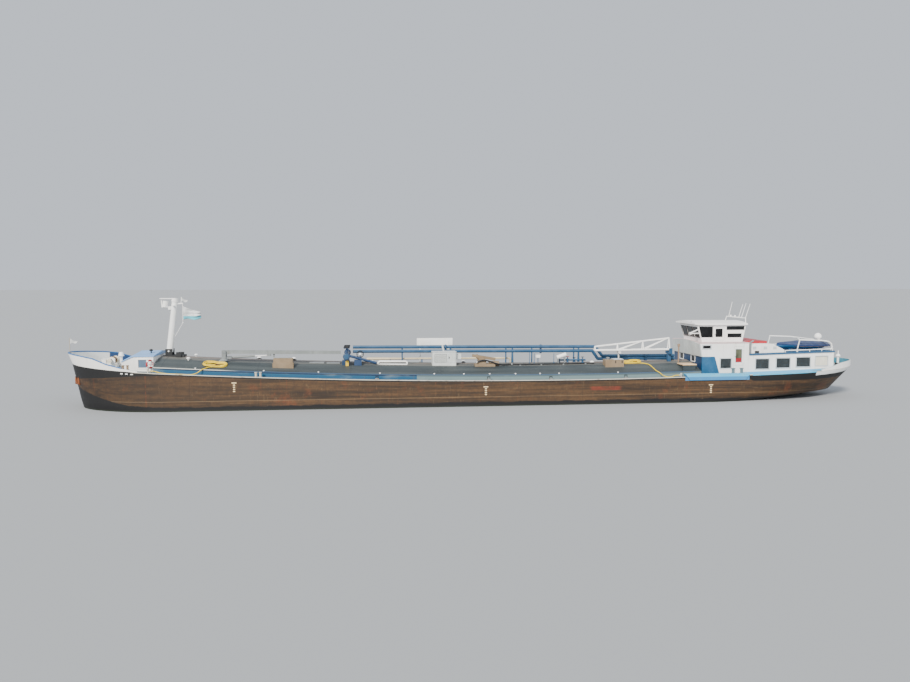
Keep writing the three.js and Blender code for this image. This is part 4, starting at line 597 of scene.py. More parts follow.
class Build:
    """One mesh piece put together from simple bodies; places are in model metres, as at() gives them."""

    def __init__(self, name, body="barge"):
        self.name, self.body = name, body
        self.points, self.faces, self.kinds, self.materials = [], [], [], []

    def add(self, points, faces, material):
        if material not in self.materials:
            self.materials.append(material)
        first = len(self.points)
        self.points += [Vector(p) for p in points]
        self.faces += [[first + i for i in face] for face in faces]
        self.kinds += [self.materials.index(material)] * len(faces)

    def prism(self, base, shift, material):
        """Closed prism from a base outline (model points, any plane) pushed along a vector."""
        n = len(base)
        points = [Vector(p) for p in base] + [Vector(p) + Vector(shift) for p in base]
        faces = [[(i + 1) % n, i, n + i, n + (i + 1) % n] for i in range(n)]
        self.add(points, faces + [list(range(n)), list(range(2 * n - 1, n - 1, -1))], material)

    def box(self, s0, s1, y0, y1, h0, h1, material):
        base = [at(s0, y0, h0), at(s1, y0, h0), at(s1, y1, h0), at(s0, y1, h0)]
        self.prism(base, (0, 0, (h1 - h0) * K), material)

    def skin(self, rings, material, closed=False):
        """Faces between rings of as many points each, with flat ends."""
        n = len(rings[0])
        faces = []
        for k in range(len(rings) - (0 if closed else 1)):
            a, b = k * n, (k + 1) % len(rings) * n
            faces += [[a + i, a + (i + 1) % n, b + (i + 1) % n, b + i] for i in range(n)]
        if not closed:
            faces += [list(range(n - 1, -1, -1)), list(range((len(rings) - 1) * n, len(rings) * n))]
        self.add([p for ring in rings for p in ring], faces, material)

    def tube(self, path, radius, material, sides=10, closed=False):
        """Round bar through points; radius is a number or one for each point."""
        path = [Vector(p) for p in path]
        count = len(path)
        sizes = radius if isinstance(radius, (list, tuple)) else [radius] * count
        rings, up = [], None
        for i, p in enumerate(path):
            before = path[i - 1] if i or closed else p
            after = path[(i + 1) % count] if i < count - 1 or closed else p
            ahead = (after - before).normalized()
            if up is None:
                up = ahead.orthogonal().normalized()
            side = ahead.cross(up).normalized()
            up = side.cross(ahead).normalized()
            into = (p - before).normalized() if (p - before).length > 1e-9 else ahead
            wide = sizes[i] / max(0.6, into.dot(ahead))
            turn = [2 * math.pi * j / sides for j in range(sides)]
            rings.append([p + (side * math.cos(a) + up * math.sin(a)) * wide for a in turn])
        self.skin(rings, material, closed)

    def lathe(self, centre, axis, profile, material, sides=24):
        """Turned body: profile rows are (distance along the axis, radius)."""
        centre, axis, u, v, turn = round_axes(centre, axis, sides)
        self.skin([[centre + axis * along + (u * math.cos(a) + v * math.sin(a)) * max(radius, 1e-4)
                    for a in turn] for along, radius in profile], material)

    def post(self, s, y, h, profile, material, sides=20):
        """Turned body that stands upright at a full-size place."""
        self.lathe(at(s, y, h), UP, profile, material, sides)

    def torus(self, centre, axis, ring, radius, material, sides=28, section=10):
        centre, axis, u, v, turn = round_axes(centre, axis, sides)
        path = [centre + u * math.cos(a) * ring + v * math.sin(a) * ring for a in turn]
        self.tube(path, radius, material, section, closed=True)

    def bolts(self, centre, axis, ring, count, profile, start=0):
        """Six-sided bolt heads round a flange that faces along or across the boat."""
        for i in range(count):
            a = math.radians(360 / count * i + start)
            flat = (0, math.cos(a) * ring) if axis[0] else (math.cos(a) * ring, 0)
            self.lathe(centre + Vector((*flat, math.sin(a) * ring)), axis, profile, IRON, 6)

    def frame(self, outer, inner, shift, material):
        """Flat frame between two outlines of as many points each, pushed along a vector."""
        n = len(outer)
        shift = Vector(shift)
        rings = [[Vector(p) for p in outer], [Vector(p) + shift for p in outer],
                 [Vector(p) + shift for p in inner], [Vector(p) for p in inner]]
        faces = []
        for k in range(4):
            a, b = k * n, (k + 1) % 4 * n
            faces += [[a + i, b + i, b + (i + 1) % n, a + (i + 1) % n] for i in range(n)]
        self.add([p for ring in rings for p in ring], faces, material)

    def done(self, slot, bevel=0.0):
        mesh = bpy.data.meshes.new(self.name)
        mesh.from_pydata([tuple(p) for p in self.points], [], self.faces)
        for material in self.materials:
            mesh.materials.append(material)
        mesh.polygons.foreach_set("material_index", self.kinds)
        made = bpy.data.objects.new(self.name, mesh)
        bpy.context.scene.collection.objects.link(made)
        work = bmesh.new()
        work.from_mesh(mesh)
        bmesh.ops.recalc_face_normals(work, faces=work.faces)
        work.to_mesh(mesh)
        work.free()
        mesh.shade_smooth()
        if bevel:
            rim = made.modifiers.new("edges", "BEVEL")
            rim.width = bevel
            rim.segments = 1
            rim.limit_method = "ANGLE"
            rim.angle_limit = math.radians(50)
            rim.harden_normals = False
        made.modifiers.new("rounded", "NODES").node_group = ROUNDED
        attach(made, self.body)
        return made


# Yellow deck hoses: routes in full-size metres, each wound on a hank over the tank deck
HOSE = {"r": 0.03, "lift": 0.002, "gap": 0.0006}
HANK = {"run": 0.9, "outer": 0.30, "pitch": 0.06, "top": 0.27, "top_rise": 0.112}
NOZZLE = 0.26 * K
FORE_HOSE = {
    "hydrant": 5.75, "travel": 1, "hank": (9.72, 1.9), "entry": -0.06, "end": 0.1,
    "deck": [(6.2, 2.88, 0.09), (6.5, 2.95, 0.03), (6.9, 3.02, 0.002), (7.4, 3.07, 0.002), (7.9, 3.08, 0.002),
             (8.35, 3.05, 0.002), (8.62, 2.98, 0.04), (8.82, 2.88, 0.14), (8.97, 2.76, 0.26),
             (9.09, 2.62, 0.34)],
    "trunk": [(9.2, 2.47), (9.33, 2.33), (9.48, 2.23), (9.66, 2.2)],
}
AFT_HOSE = {
    "hydrant": 40.95, "travel": -1, "hank": (38.1, 0.64), "entry": -0.2, "end": -0.36,
    "deck": [(40.48, 2.88, 0.08), (40.25, 2.95, 0.02), (40.0, 2.98, 0.002), (39.8, 2.96, 0.05),
             (39.62, 2.87, 0.14), (39.5, 2.76, 0.26), (39.41, 2.62, 0.34)],
    "trunk": [(39.35, 2.44), (39.3, 2.1), (39.25, 1.75), (39.16, 1.42), (39.0, 1.14), (38.8, 0.98),
              (38.6, 0.94), (38.3, 0.94)],
}


def hank_turns(entry, end):
    """Turns of a hank as (u along the run, v across, height over the deck), in and out again."""
    half, r = HANK["run"] / 2, HOSE["r"]
    levels = [r + HOSE["lift"], 3 * r + HOSE["lift"]]
    tracks = [(HANK["outer"] - HANK["pitch"] * i, layer) for i, layer in
              [(0, 0), (1, 0), (2, 0), (2, 1), (1, 1), (0, 1)]]
    points = []

    def arc(sign, radius, height):
        for i in range(9):
            a = math.radians(sign * 90 - 180 * i / 8)
            points.append((sign * half + radius * math.cos(a), radius * math.sin(a), height))

    start = entry
    for k, (radius, layer) in enumerate(tracks):
        height = levels[layer]
        points += [(start + (half - start) * i / 4, radius, height) for i in range(1, 4)]
        arc(1, radius, height)
        to, target = HANK["top"], HANK["top_rise"] + r
        if k < len(tracks) - 1:
            to, target = tracks[k + 1][0], levels[tracks[k + 1][1]]
        window = (0.3, 0.7) if target > height else ((0.65, 0.95) if layer == 0 else (0.05, 0.35))
        for i in range(1, 6):
            t = i / 6
            w = min(max((t - window[0]) / (window[1] - window[0]), 0.0), 1.0)
            w = w * w * (3 - 2 * w)
            points.append((half - HANK["run"] * t, -(radius + (to - radius) * w),
                           height + (target - height) * w))
        arc(-1, to, target)
        start = -half
    steps = 3 if end > -half + 0.15 else 1
    return points + [(-half + (end + half) * i / steps, HANK["top"], HANK["top_rise"] + r)
                     for i in range(1, steps + 1)]


def hose_points(hose):
    ahead, s0 = hose["travel"], hose["hydrant"]
    points = [at(s0 + ahead * (0.16 + d), 2.85, deck(s0) + 0.12) for d in (HOSE["gap"], 0.12)]
    points += [at(s, y, deck(s) + HOSE["r"] + over) for s, y, over in hose["deck"]]
    points += [at(s, y, trunk(s, y) + HOSE["r"] + HOSE["lift"]) for s, y in hose["trunk"]]
    hs, hy = hose["hank"]
    turns = hank_turns(hose["entry"], hose["end"])
    return points + [at(hs + ahead * u, hy + v, trunk(hs + ahead * u, hy + v) + w) for u, v, w in turns]


def curve_piece(name, points, radius, material):
    data = bpy.data.curves.new(name, "CURVE")
    data.dimensions = "3D"
    spline = data.splines.new("BEZIER")
    spline.bezier_points.add(len(points) - 1)
    for place, p in zip(spline.bezier_points, points):
        place.co = p
        place.handle_left_type = place.handle_right_type = "AUTO"
    data.bevel_depth = radius
    data.bevel_resolution = 3
    data.resolution_u = 5
    data.use_fill_caps = True
    data.materials.append(material)
    made = bpy.data.objects.new(name, data)
    bpy.context.scene.collection.objects.link(made)
    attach(made, "barge")
    return made


def curve_length(made):
    bpy.context.view_layer.update()
    places = list(made.data.splines[0].bezier_points)
    total = 0.0
    for a, b in zip(places, places[1:]):
        steps = interpolate_bezier(a.co, a.handle_right, b.handle_left, b.co, 12)
        total += sum((q - p).length for p, q in zip(steps, steps[1:]))
    return total


def lay_hose(name, hose):
    points = hose_points(hose)
    r = HOSE["r"] * K
    made = curve_piece(name + "_line", points, r, HOSE_YELLOW)
    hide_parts(name, name + "_hank")
    tip = Vector(points[-1])
    ahead = (tip - Vector(points[-2])).normalized()
    nozzle = Build(name + "_nozzle")
    nozzle.lathe(tip - ahead * 0.018, ahead, [
        (0.0, r * 1.02), (0.002, r * 1.16), (0.02, r * 1.2), (0.022, r * 1.34), (0.034, r * 1.34),
        (0.036, r * 1.1), (NOZZLE * 0.5, r * 0.86), (NOZZLE * 0.8, r * 0.62), (NOZZLE * 0.82, r * 0.8),
        (NOZZLE + 0.018, r * 0.74), (NOZZLE + 0.018, r * 0.5), (NOZZLE, r * 0.46)], BRASS, 20)
    end = nozzle.done("bronze", 0.0008)
    round(curve_length(made), 3)


def lay_pump_hose():
    """Black hose from the deck pump down to the deck line."""
    clamp = Build("pump_hose_ends")
    points = [at(27.02, 1.34, 2.74), at(27.24, 1.37, 2.84), at(27.6, 1.37, 2.86), at(28.0, 1.35, 2.76)]
    points += [at(s, y, trunk(s, y) + over) for s, y, over in
               [(28.4, 1.31, 0.2), (28.8, 1.2, 0.11), (29.25, 1.07, 0.1), (29.5, 1.02, 0.1)]]
    hose = curve_piece("pump_hose", points, 0.028, BLACK_RUBBER)
    for end, other in [(points[0], points[1]), (points[-1], points[-2])]:
        along = (other - end).normalized()
        clamp.lathe(end - along * 0.02, along, [(0, 0.024), (0.004, 0.037), (0.05, 0.037), (0.054, 0.029)],
                    GALVANISED, 20)
    round(curve_length(hose), 3)
    clamp.done("grey")


# Plain pale floor at the waterline, and soft studio light
def stage_floor():
    mesh = bpy.data.meshes.new("floor")
    reach = 400.0
    corners = [(-reach, -reach, WATER), (reach, -reach, WATER), (reach, reach, WATER), (-reach, reach, WATER)]
    mesh.from_pydata(corners, [], [(0, 1, 2, 3)])
    made = bpy.data.objects.new("floor", mesh)
    bpy.context.scene.collection.objects.link(made)
    mesh.materials.append(Graph("floor_paper", (158, 161, 164)).done(0.85))


def studio_light():
    world = bpy.data.worlds.new("studio")
    bpy.context.scene.world = world
    world.use_nodes = True
    sky = world.node_tree.nodes["Background"]
    sky.inputs[0].default_value = (0.80, 0.86, 0.95, 1)
    sky.inputs[1].default_value = 0.9
    for name, aim_at, power, spread, tone in [
            ("key", (-0.42, -0.74, -0.62), 5.6, 14, (1.0, 0.95, 0.87)),
            ("fill", (0.6, -0.5, -0.45), 0.5, 40, (0.9, 0.95, 1.0))]:
        lamp = bpy.data.lights.new(name, "SUN")
        lamp.energy = power
        lamp.angle = math.radians(spread)
        lamp.color = tone
        made = bpy.data.objects.new(name, lamp)
        made.rotation_mode = "QUATERNION"
        made.rotation_quaternion = Vector(aim_at).to_track_quat("-Z", "Y")
        bpy.context.scene.collection.objects.link(made)


# Cloth
def cloth(name, rows, material, body, slot, thick=0.0012):
    """Thin double-sided sheet over a grid of model points."""
    made = Build(name, body)
    high, wide = len(rows), len(rows[0])
    faces = [[i * wide + j, i * wide + j + 1, (i + 1) * wide + j + 1, (i + 1) * wide + j]
             for i in range(high - 1) for j in range(wide - 1)]
    made.add([p for row in rows for p in row], faces, material)
    piece = made.done(slot)
    piece.modifiers.clear()
    shell = piece.modifiers.new("thickness", "SOLIDIFY")
    shell.thickness = thick
    shell.offset = 0
    return piece


def grid_area(rows):
    total = 0.0
    for a, b in zip(rows, rows[1:]):
        for p, q, r, s in zip(a, a[1:], b[1:], b):
            total += ((q - p).cross(r - p).length + (r - p).cross(s - p).length) / 2
    return total


def flag_rows(hoist_top, fly_top, fly_low, hoist_low, waves, swing, across=30, down=16):
    """Grid of a flag between its four corners (s, h), rippling sideways more towards the fly."""
    rows = []
    for i in range(down + 1):
        v = i / down
        row = []
        for j in range(across + 1):
            u = j / across
            top_s, top_h = (a + (b - a) * u for a, b in zip(hoist_top, fly_top))
            low_s, low_h = (a + (b - a) * u for a, b in zip(hoist_low, fly_low))
            top_h -= 0.055 * math.sin(math.pi * u) * (1 - v)
            low_h += 0.05 * math.sin(2.2 * math.pi * u) * v
            side = swing * u ** 0.7 * math.sin(waves * 2 * math.pi * (u + 0.35 * v) + 0.4)
            side += swing * 0.5 * u * math.sin(2 * math.pi * (v * 2.6 + u * 0.9))
            row.append(at(top_s + (low_s - top_s) * v, side, top_h + (low_h - top_h) * v))
        rows.append(row)
    return rows


def soft_flags():
    rows = flag_rows((7.37, 6.6), (8.5, 6.23), (8.52, 5.76), (7.37, 5.7), 1.25, 0.1)
    piece = cloth("flag", rows, FLAG_CLOTH, "mast_flag", "flag")
    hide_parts("mast_flag")
    area = grid_area(rows)
    hem = Build("flag_hem", "mast_flag")
    ends = (6.64, 5.66)
    hem.tube([at(7.365, 0, h) for h in ends], 0.0065, PENNANT_CLOTH, 8)
    for h in ends:
        hem.torus(at(7.36, 0, h), ACROSS, 0.012, 0.003, BRASS, 14, 6)
    hem.done("flag")
    rows = flag_rows((0.1, 4.5), (0.6, 4.3), (0.6, 4.26), (0.1, 4.1), 0.9, 0.045, 16, 8)
    piece = cloth("bow_pennant_cloth", rows, PENNANT_CLOTH, "barge", "flag")
    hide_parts("bow_pennant")
    round(grid_area(rows), 4)


def cover_rows():
    """Dinghy cover: a ridge, sagging between it and the sheer, and a skirt that hangs below."""
    s0, s1, middle, half = 48.71, 52.45, 1.2, 0.68
    sheer_h, crown_h, skirt = 3.76, 4.03, 0.14
    shoulder = 0.84  # share of the half-width where the skirt starts
    long, wide = 56, 28
    rows = []
    for i in range(long + 1):
        u = i / long
        fore = min(u / 0.42, 1.0)
        aft = min((1 - u) / 0.09, 1.0)
        ends = (0.86 + 0.14 * aft) * (1 if aft >= 1 else 0.9 + 0.1 * aft)
        breadth = max(half * (1 - (1 - fore) ** 2.1) ** 0.8 * ends, 0.02)
        ridge = crown_h - 0.16 * (1 - fore) ** 1.6 - 0.07 * (1 - aft) + 0.012 * math.sin(6 * math.pi * u)
        rim = sheer_h + 0.09 * (1 - fore) ** 1.5
        row = []
        for j in range(wide + 1):
            v = -1 + 2 * j / wide
            top = min(abs(v) / shoulder, 1.0)
            y = breadth * top
            h = ridge + (rim - ridge) * top ** 1.25 - 0.02 * math.sin(math.pi * top)
            h += 0.012 * math.sin(14 * math.pi * u + 2.2 * v) * top * (1 - 0.5 * top)
            h += 0.006 * math.sin(37 * u + 9 * v)
            if abs(v) > shoulder:
                drop = (abs(v) - shoulder) / (1 - shoulder)
                y = breadth + 0.012 + 0.014 * math.sin(2 * math.pi * 13 * u) * drop
                h = rim - skirt * drop + 0.01 * math.sin(2 * math.pi * 6.5 * u)
            row.append(at(s0 + (s1 - s0) * u, middle + math.copysign(y, v), h))
        rows.append(row)
    return rows


def soft_cover():
    rows = cover_rows()
    piece = cloth("dinghy_cover_cloth", rows, COVER_CLOTH, "barge", "cover", 0.003)
    piece.modifiers.new("smooth", "SUBSURF").levels = 1
    piece.modifiers["smooth"].render_levels = 1
    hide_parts("dinghy_cover")
    area = grid_area(rows)
    lace = Build("dinghy_cover_lacing")
    for edge, out in [(0, -1), (-1, 1)]:
        path = [row[edge] + Vector((0, out * 0.004, 0.012 + 0.008 * (i % 2))) for i, row in enumerate(rows)]
        lace.tube(path[2:-2], 0.0035, ROPE, 6)
    for seam in (9, 23, 37, 50):
        lace.tube([p + Vector((0, 0, 0.0035)) for p in rows[seam][2:-2]], 0.0028, COVER_CLOTH, 6)
    trim = lace.done("cover")


# Windows: panes and frames in the openings of both houses
HOUSE_Y = 2.45
WH_Y = 1.55
HOUSE_WINDOWS = [(42.62, 43.22, 3.6, 3.84), (43.92, 44.72, 2.22, 2.92), (46.5, 47.5, 2.14, 2.87),
                 (48.02, 49.05, 2.2, 2.9), (49.5, 50.55, 2.26, 2.95), (50.92, 51.85, 2.34, 3.0)]


def rect(a0, a1, h0, h1, grow=0.0):
    """Corners of an upright rectangle, grown all round."""
    return [(a0 - grow, h0 - grow), (a1 + grow, h0 - grow), (a1 + grow, h1 + grow), (a0 - grow, h1 + grow)]


def along(outline, y):
    """Outline of (s, h) on a fore-and-aft wall."""
    return [at(s, y, h) for s, h in outline]


def athwart(outline, s):
    """Outline of (y, h) on a wall across the boat."""
    return [at(s, y, h) for y, h in outline]


def side_pane(build, window, y, out, pane, frame, lip, deep, proud):
    """Window in a fore-and-aft wall whose outer face is at y; out is +1 to port."""
    face = (y + 0.001) * out
    outer, inner = (along(rect(*window, grow), face) for grow in (lip, -0.02))
    build.frame(outer, inner, (0, out * proud * K, 0), frame)
    build.prism(along(rect(*window, -0.004), (y - deep) * out), (0, out * 0.012 * K, 0), pane)


def house_windows():
    for name, out in SIDES.items():
        made = Build("windows_house_" + name)
        for window, pane in zip(HOUSE_WINDOWS, [GLASS, TINTED, TINTED, TINTED, TINTED, BLIND]):
            side_pane(made, window, HOUSE_Y, out, pane, FRAME_GREY, 0.045, 0.036, 0.022)
        made.done("white", 0.0015)
        made = Build("windows_fore_" + name)
        side_pane(made, (4.95, 5.5, 2.7, 3.25), 2.1, out, PANE_BLUE, WHITE, 0.06, 0.02, 0.024)
        made.done("white", 0.0015)


def curtain(name, s0, s1, h0, h1, out):
    """Pleated curtain hung inside a window."""
    rows = [[at(s0 + (s1 - s0) * j / 24, out * (HOUSE_Y - 0.15 + 0.018 * math.sin(j * 1.57 + 0.3 * i)),
                h1 + (h0 - h1) * i / 6) for j in range(25)] for i in range(7)]
    piece = cloth(name, rows, CURTAIN_CLOTH, "barge", "white")
    area = grid_area(rows)


def curtains():
    for name, out in SIDES.items():
        for i, (s0, s1, h0, h1) in enumerate(HOUSE_WINDOWS[1:5]):
            far = s0 + (s1 - s0) * 0.32
            curtain("curtain_" + name + "_" + str(i), s0 - 0.02, far, h0 - 0.03, h1 + 0.04, out)


def leaning(s0, h0, lean):
    """Places on a wall that leans along the boat, from the distance across and up the wall and inward."""
    angle = math.atan2(lean, 5.2 - 4.01)

    def place(across, up, inward=0.0):
        return at(s0 - up * math.sin(angle) + inward * math.cos(angle), across,
                  h0 + up * math.cos(angle) + inward * math.sin(angle))
    return place


def wheelhouse_windows():
    made = Build("windows_wheelhouse_ends")
    for s0, lean, panes, inset, thin in [
            (42.96, 0.37, [(-1.4, -0.56), (-0.46, 0.46), (0.56, 1.4)], 0.02, -0.012),
            (45.94, -0.26, [(-1.3, -0.2), (0.2, 1.3)], -0.05, 0.012)]:
        place = leaning(s0, 4.011, lean)
        for y0, y1 in panes:
            ring = rect(y0, y1, 0.32, 1.05, -0.003)
            made.prism([place(y, up, inset) for y, up in ring],
                       place(0, 0, inset + 0.02) - place(0, 0, inset), GLASS)
            outer, inner = ([place(y, up, thin * 0.1) for y, up in outline]
                            for outline in (rect(y0, y1, 0.32, 1.05, 0.035), ring))
            made.frame(outer, inner, place(0, 0, thin) - place(0, 0, 0), DARK)
    made.done("dark")
    fore = [(42.933, 4.353), (43.717, 4.353), (43.717, 5.057), (42.753, 5.057)]
    for name, out in SIDES.items():
        made = Build("windows_wheelhouse_" + name)
        for pane in [fore, rect(44.783, 46.037, 4.873, 5.077), rect(44.863, 45.837, 4.343, 4.567)]:
            made.prism(along(pane, out * (WH_Y - 0.04)), (0, out * 0.02 * K, 0), GLASS)
            mid_s, mid_h = (sum(values) / 4 for values in zip(*pane))
            away = [(math.copysign(1, s - mid_s), math.copysign(1, h - mid_h)) for s, h in pane]
            wide, tight = (along([(s + ds * grow, h + dh * grow) for (s, h), (ds, dh) in zip(pane, away)],
                                 out * (WH_Y + 0.001)) for grow in (0.03, -0.004))
            made.frame(wide, tight, (0, out * 0.012 * K, 0), DARK)
        made.done("dark")


def handle(made, s, wall, out, h):
    made.box(s, s + 0.04, out * (wall + 0.0102), out * (wall + 0.05), h, h + 0.03, DARK)
    made.box(s, s + 0.1, out * (wall + 0.04), out * (wall + 0.055), h, h + 0.03, DARK)


def door_glass():
    for name, out in SIDES.items():
        made = Build("glass_house_door_" + name, "house_door_" + name)
        for h0, h1, look in [(2.643, 2.93, RED_GLASS), (2.93, 3.557, DOOR_GLASS)]:
            made.box(45.023, 45.477, out * (HOUSE_Y - 0.02), out * (HOUSE_Y - 0.006), h0, h1, look)
        handle(made, 44.96, HOUSE_Y, out, 3.02)
        outer, inner = (along(rect(45.03, 45.47, 2.65, 3.55, grow), out * (HOUSE_Y + 0.0104))
                        for grow in (0.04, 0))
        made.frame(outer, inner, (0, out * 0.008 * K, 0), FRAME_GREY)
        made.done("dark")
        made = Build("glass_wheelhouse_door_" + name, "wheelhouse_door_" + name)
        made.box(43.943, 44.467, out * (WH_Y - 0.02), out * (WH_Y - 0.006), 4.343, 4.937, GLASS)
        handle(made, 43.88, WH_Y, out, 4.5)
        made.done("dark")


def house_end_windows():
    made = Build("windows_house_front")
    for ys, half, h0, h1, pane_s, thick, lip, face_s, proud, look in [
            ((-1.05, 0.95), 0.297, 2.623, 3.017, 42.64, -0.012, 0.063, 42.598, 0.01, WHITE),
            ((-1.25, 1.25), 0.347, 2.503, 2.997, 52.28, 0.01, 0.043, 52.302, -0.008, FRAME_GREY)]:
        for y in ys:
            window = (y - half, y + half, h0, h1)
            made.prism(athwart(rect(*window), pane_s), (thick, 0, 0), GLASS)
            outer, inner = (athwart(rect(*window, grow), face_s) for grow in (lip, 0))
            made.frame(outer, inner, (proud, 0, 0), look)
    made.done("white")


def marks():
    """Draught marks on the sides, without lettering."""
    made = Build("draught_marks")
    for out in BOTH:
        for s, low, high in [(11.13, 1.22, 1.9), (27.35, 0.76, 1.4), (42.9, 0.66, 1.3)]:
            for i in range(5):
                h = low + (high - low) * i / 5
                wide = 0.3 if i == 4 else 0.13
                made.box(s - wide / 2, s + wide / 2, out * 3.3, out * 3.307, h, h + 0.07, MARK_CREAM)
    made.done("white")


def lifebuoy():
    made = Build("lifebuoy")
    centre, ring = at(5.72, 2.24, 2.96), 0.12
    axis, across = Vector((-0.8, 0.6, 0)), Vector((0.6, 0.8, 0))
    made.torus(centre, axis, ring, 0.027, RED, 36, 14)
    for k in range(4):
        turns = [math.radians(45 + 90 * k) + d for d in (-0.22, -0.11, 0.0, 0.11, 0.22)]
        made.tube([centre + (across * math.cos(a) + Vector(UP) * math.sin(a)) * ring for a in turns],
                  0.0285, WHITE, 14)
    made.tube([at(5.6, 2.08, 2.96), centre - axis * 0.02], 0.012, WHITE)
    made.tube([centre + across * reach - axis * 0.024 for reach in (-0.13, 0.13)], 0.008, WHITE, 8)
    made.done("red")


BOW_RAIL = [(0, 0.78), (1.2, 0.74), (2.3, 0.7), (2.75, 0.5), (3.6, 0.32), (4.8, 0.12), (6.0, 0.1)]


def bow_trim():
    """Blue cap along the bow bulwark and three small white plates on the plating."""
    made = Build("bow_cap")
    for out in BOTH:
        path = []
        for s in [s for s in DECK_STATIONS if s <= 4.9]:
            flare = 0.25 * max(0.0, 1 - (s - DECK_STATIONS[0]) / 4.5)
            y = half_breadth(s)
            wide = 0 if y == 0 else out * (y + flare * 0.35 - 0.035)
            path.append(at(s - flare + 0.03, wide, sheer(s) + between(s, BOW_RAIL) + 0.004))
        made.tube(path, 0.024, CAP_BLUE)
    made.done("blue")
    made = Build("bow_plates")
    for out in BOTH:
        for s in (4.2, 4.52, 4.85):
            y, h = half_breadth(s), deck(s) - 0.12
            lean = half_breadth(s + 0.1) - half_breadth(s - 0.1)
            ends = [(s - 0.08, y - 0.4 * lean), (s + 0.08, y + 0.4 * lean)]
            base = [at(ds, out * (dy - 0.09), h) for ds, dy in ends]
            made.prism(base + [at(ds, out * (dy + 0.008), h) for ds, dy in ends[::-1]], (0, 0, 0.028), WHITE)
    made.done("white")


def fore_gear():
    made = Build("roof_vent_fore")
    made.post(5.5, 1.0, 3.5, [(0, 0.02), (0.1, 0.02), (0.1, 0.055), (0.125, 0.06), (0.15, 0.05),
                              (0.165, 0.02), (0.168, 0.0)], DARK)
    made.done("dark", 0.001)

    made = Build("deck_vent_side")
    for out in BOTH:
        made.post(7.9, out * 1.2, trunk(7.9, 1.2) - 0.01, [
            (0, 0.03), (0.05, 0.03), (0.05, 0.06), (0.07, 0.064), (0.095, 0.05), (0.105, 0.0)], WHITE)
    made.done("white", 0.001)

    made = Build("winch_cowl")
    arch = [(6.84, 3.2, 0.045), (6.88, 3.33, 0.058), (7.0, 3.38, 0.062), (7.16, 3.33, 0.058),
            (7.22, 3.2, 0.045)]
    made.tube([at(s, -0.42, h) for s, h, r in arch], [r for s, h, r in arch], DARK, 16)
    made.done("dark")

    made = Build("windlass_trim")
    for y in (-0.62, 0.62):
        made.torus(at(2.82, y, 3.05), ACROSS, 0.055, 0.008, DARK, 24, 8)
        made.bolts(at(2.82, y - 0.004, 3.05), ACROSS, 0.04, 6, [(0, 0.006), (0.008, 0.006), (0.01, 0.003)])
    foot = deck(2.3)
    made.box(2.12, 2.4, -0.24, 0.24, foot + 0.01, foot + 0.42, WHITE)
    made.box(2.1, 2.42, -0.26, 0.26, foot + 0.42, foot + 0.45, WHITE)
    made.done("white", 0.004)

    made = Build("anchors")
    for out in BOTH:
        def near(ds, dy, dh):
            return at(0.8 + ds, out * (0.82 + dy), 1.75 + dh)
        made.tube([near(0.1, 0.1, 0.42), near(-0.05, 0.04, -0.1)], 0.03, ANCHOR_IRON, 14)
        made.tube([near(-0.21, -0.27, -0.14), near(0.21, 0.27, -0.14)], 0.041, ANCHOR_IRON, 16)
        for ds, dy in [(-0.17, -0.22), (0.15, 0.2)]:
            fluke = [near(ds - lean, dy + 2 * lean, h) for lean, h in [(0, -0.16), (0.015, 0.1), (0.03, 0.31)]]
            made.tube(fluke, [0.041, 0.034, 0.012], ANCHOR_IRON, 14)
        made.torus(near(0.1, 0.1, 0.47), (0.5, 1, 0), 0.035, 0.009, ANCHOR_IRON, 20, 8)
    made.done("rust")


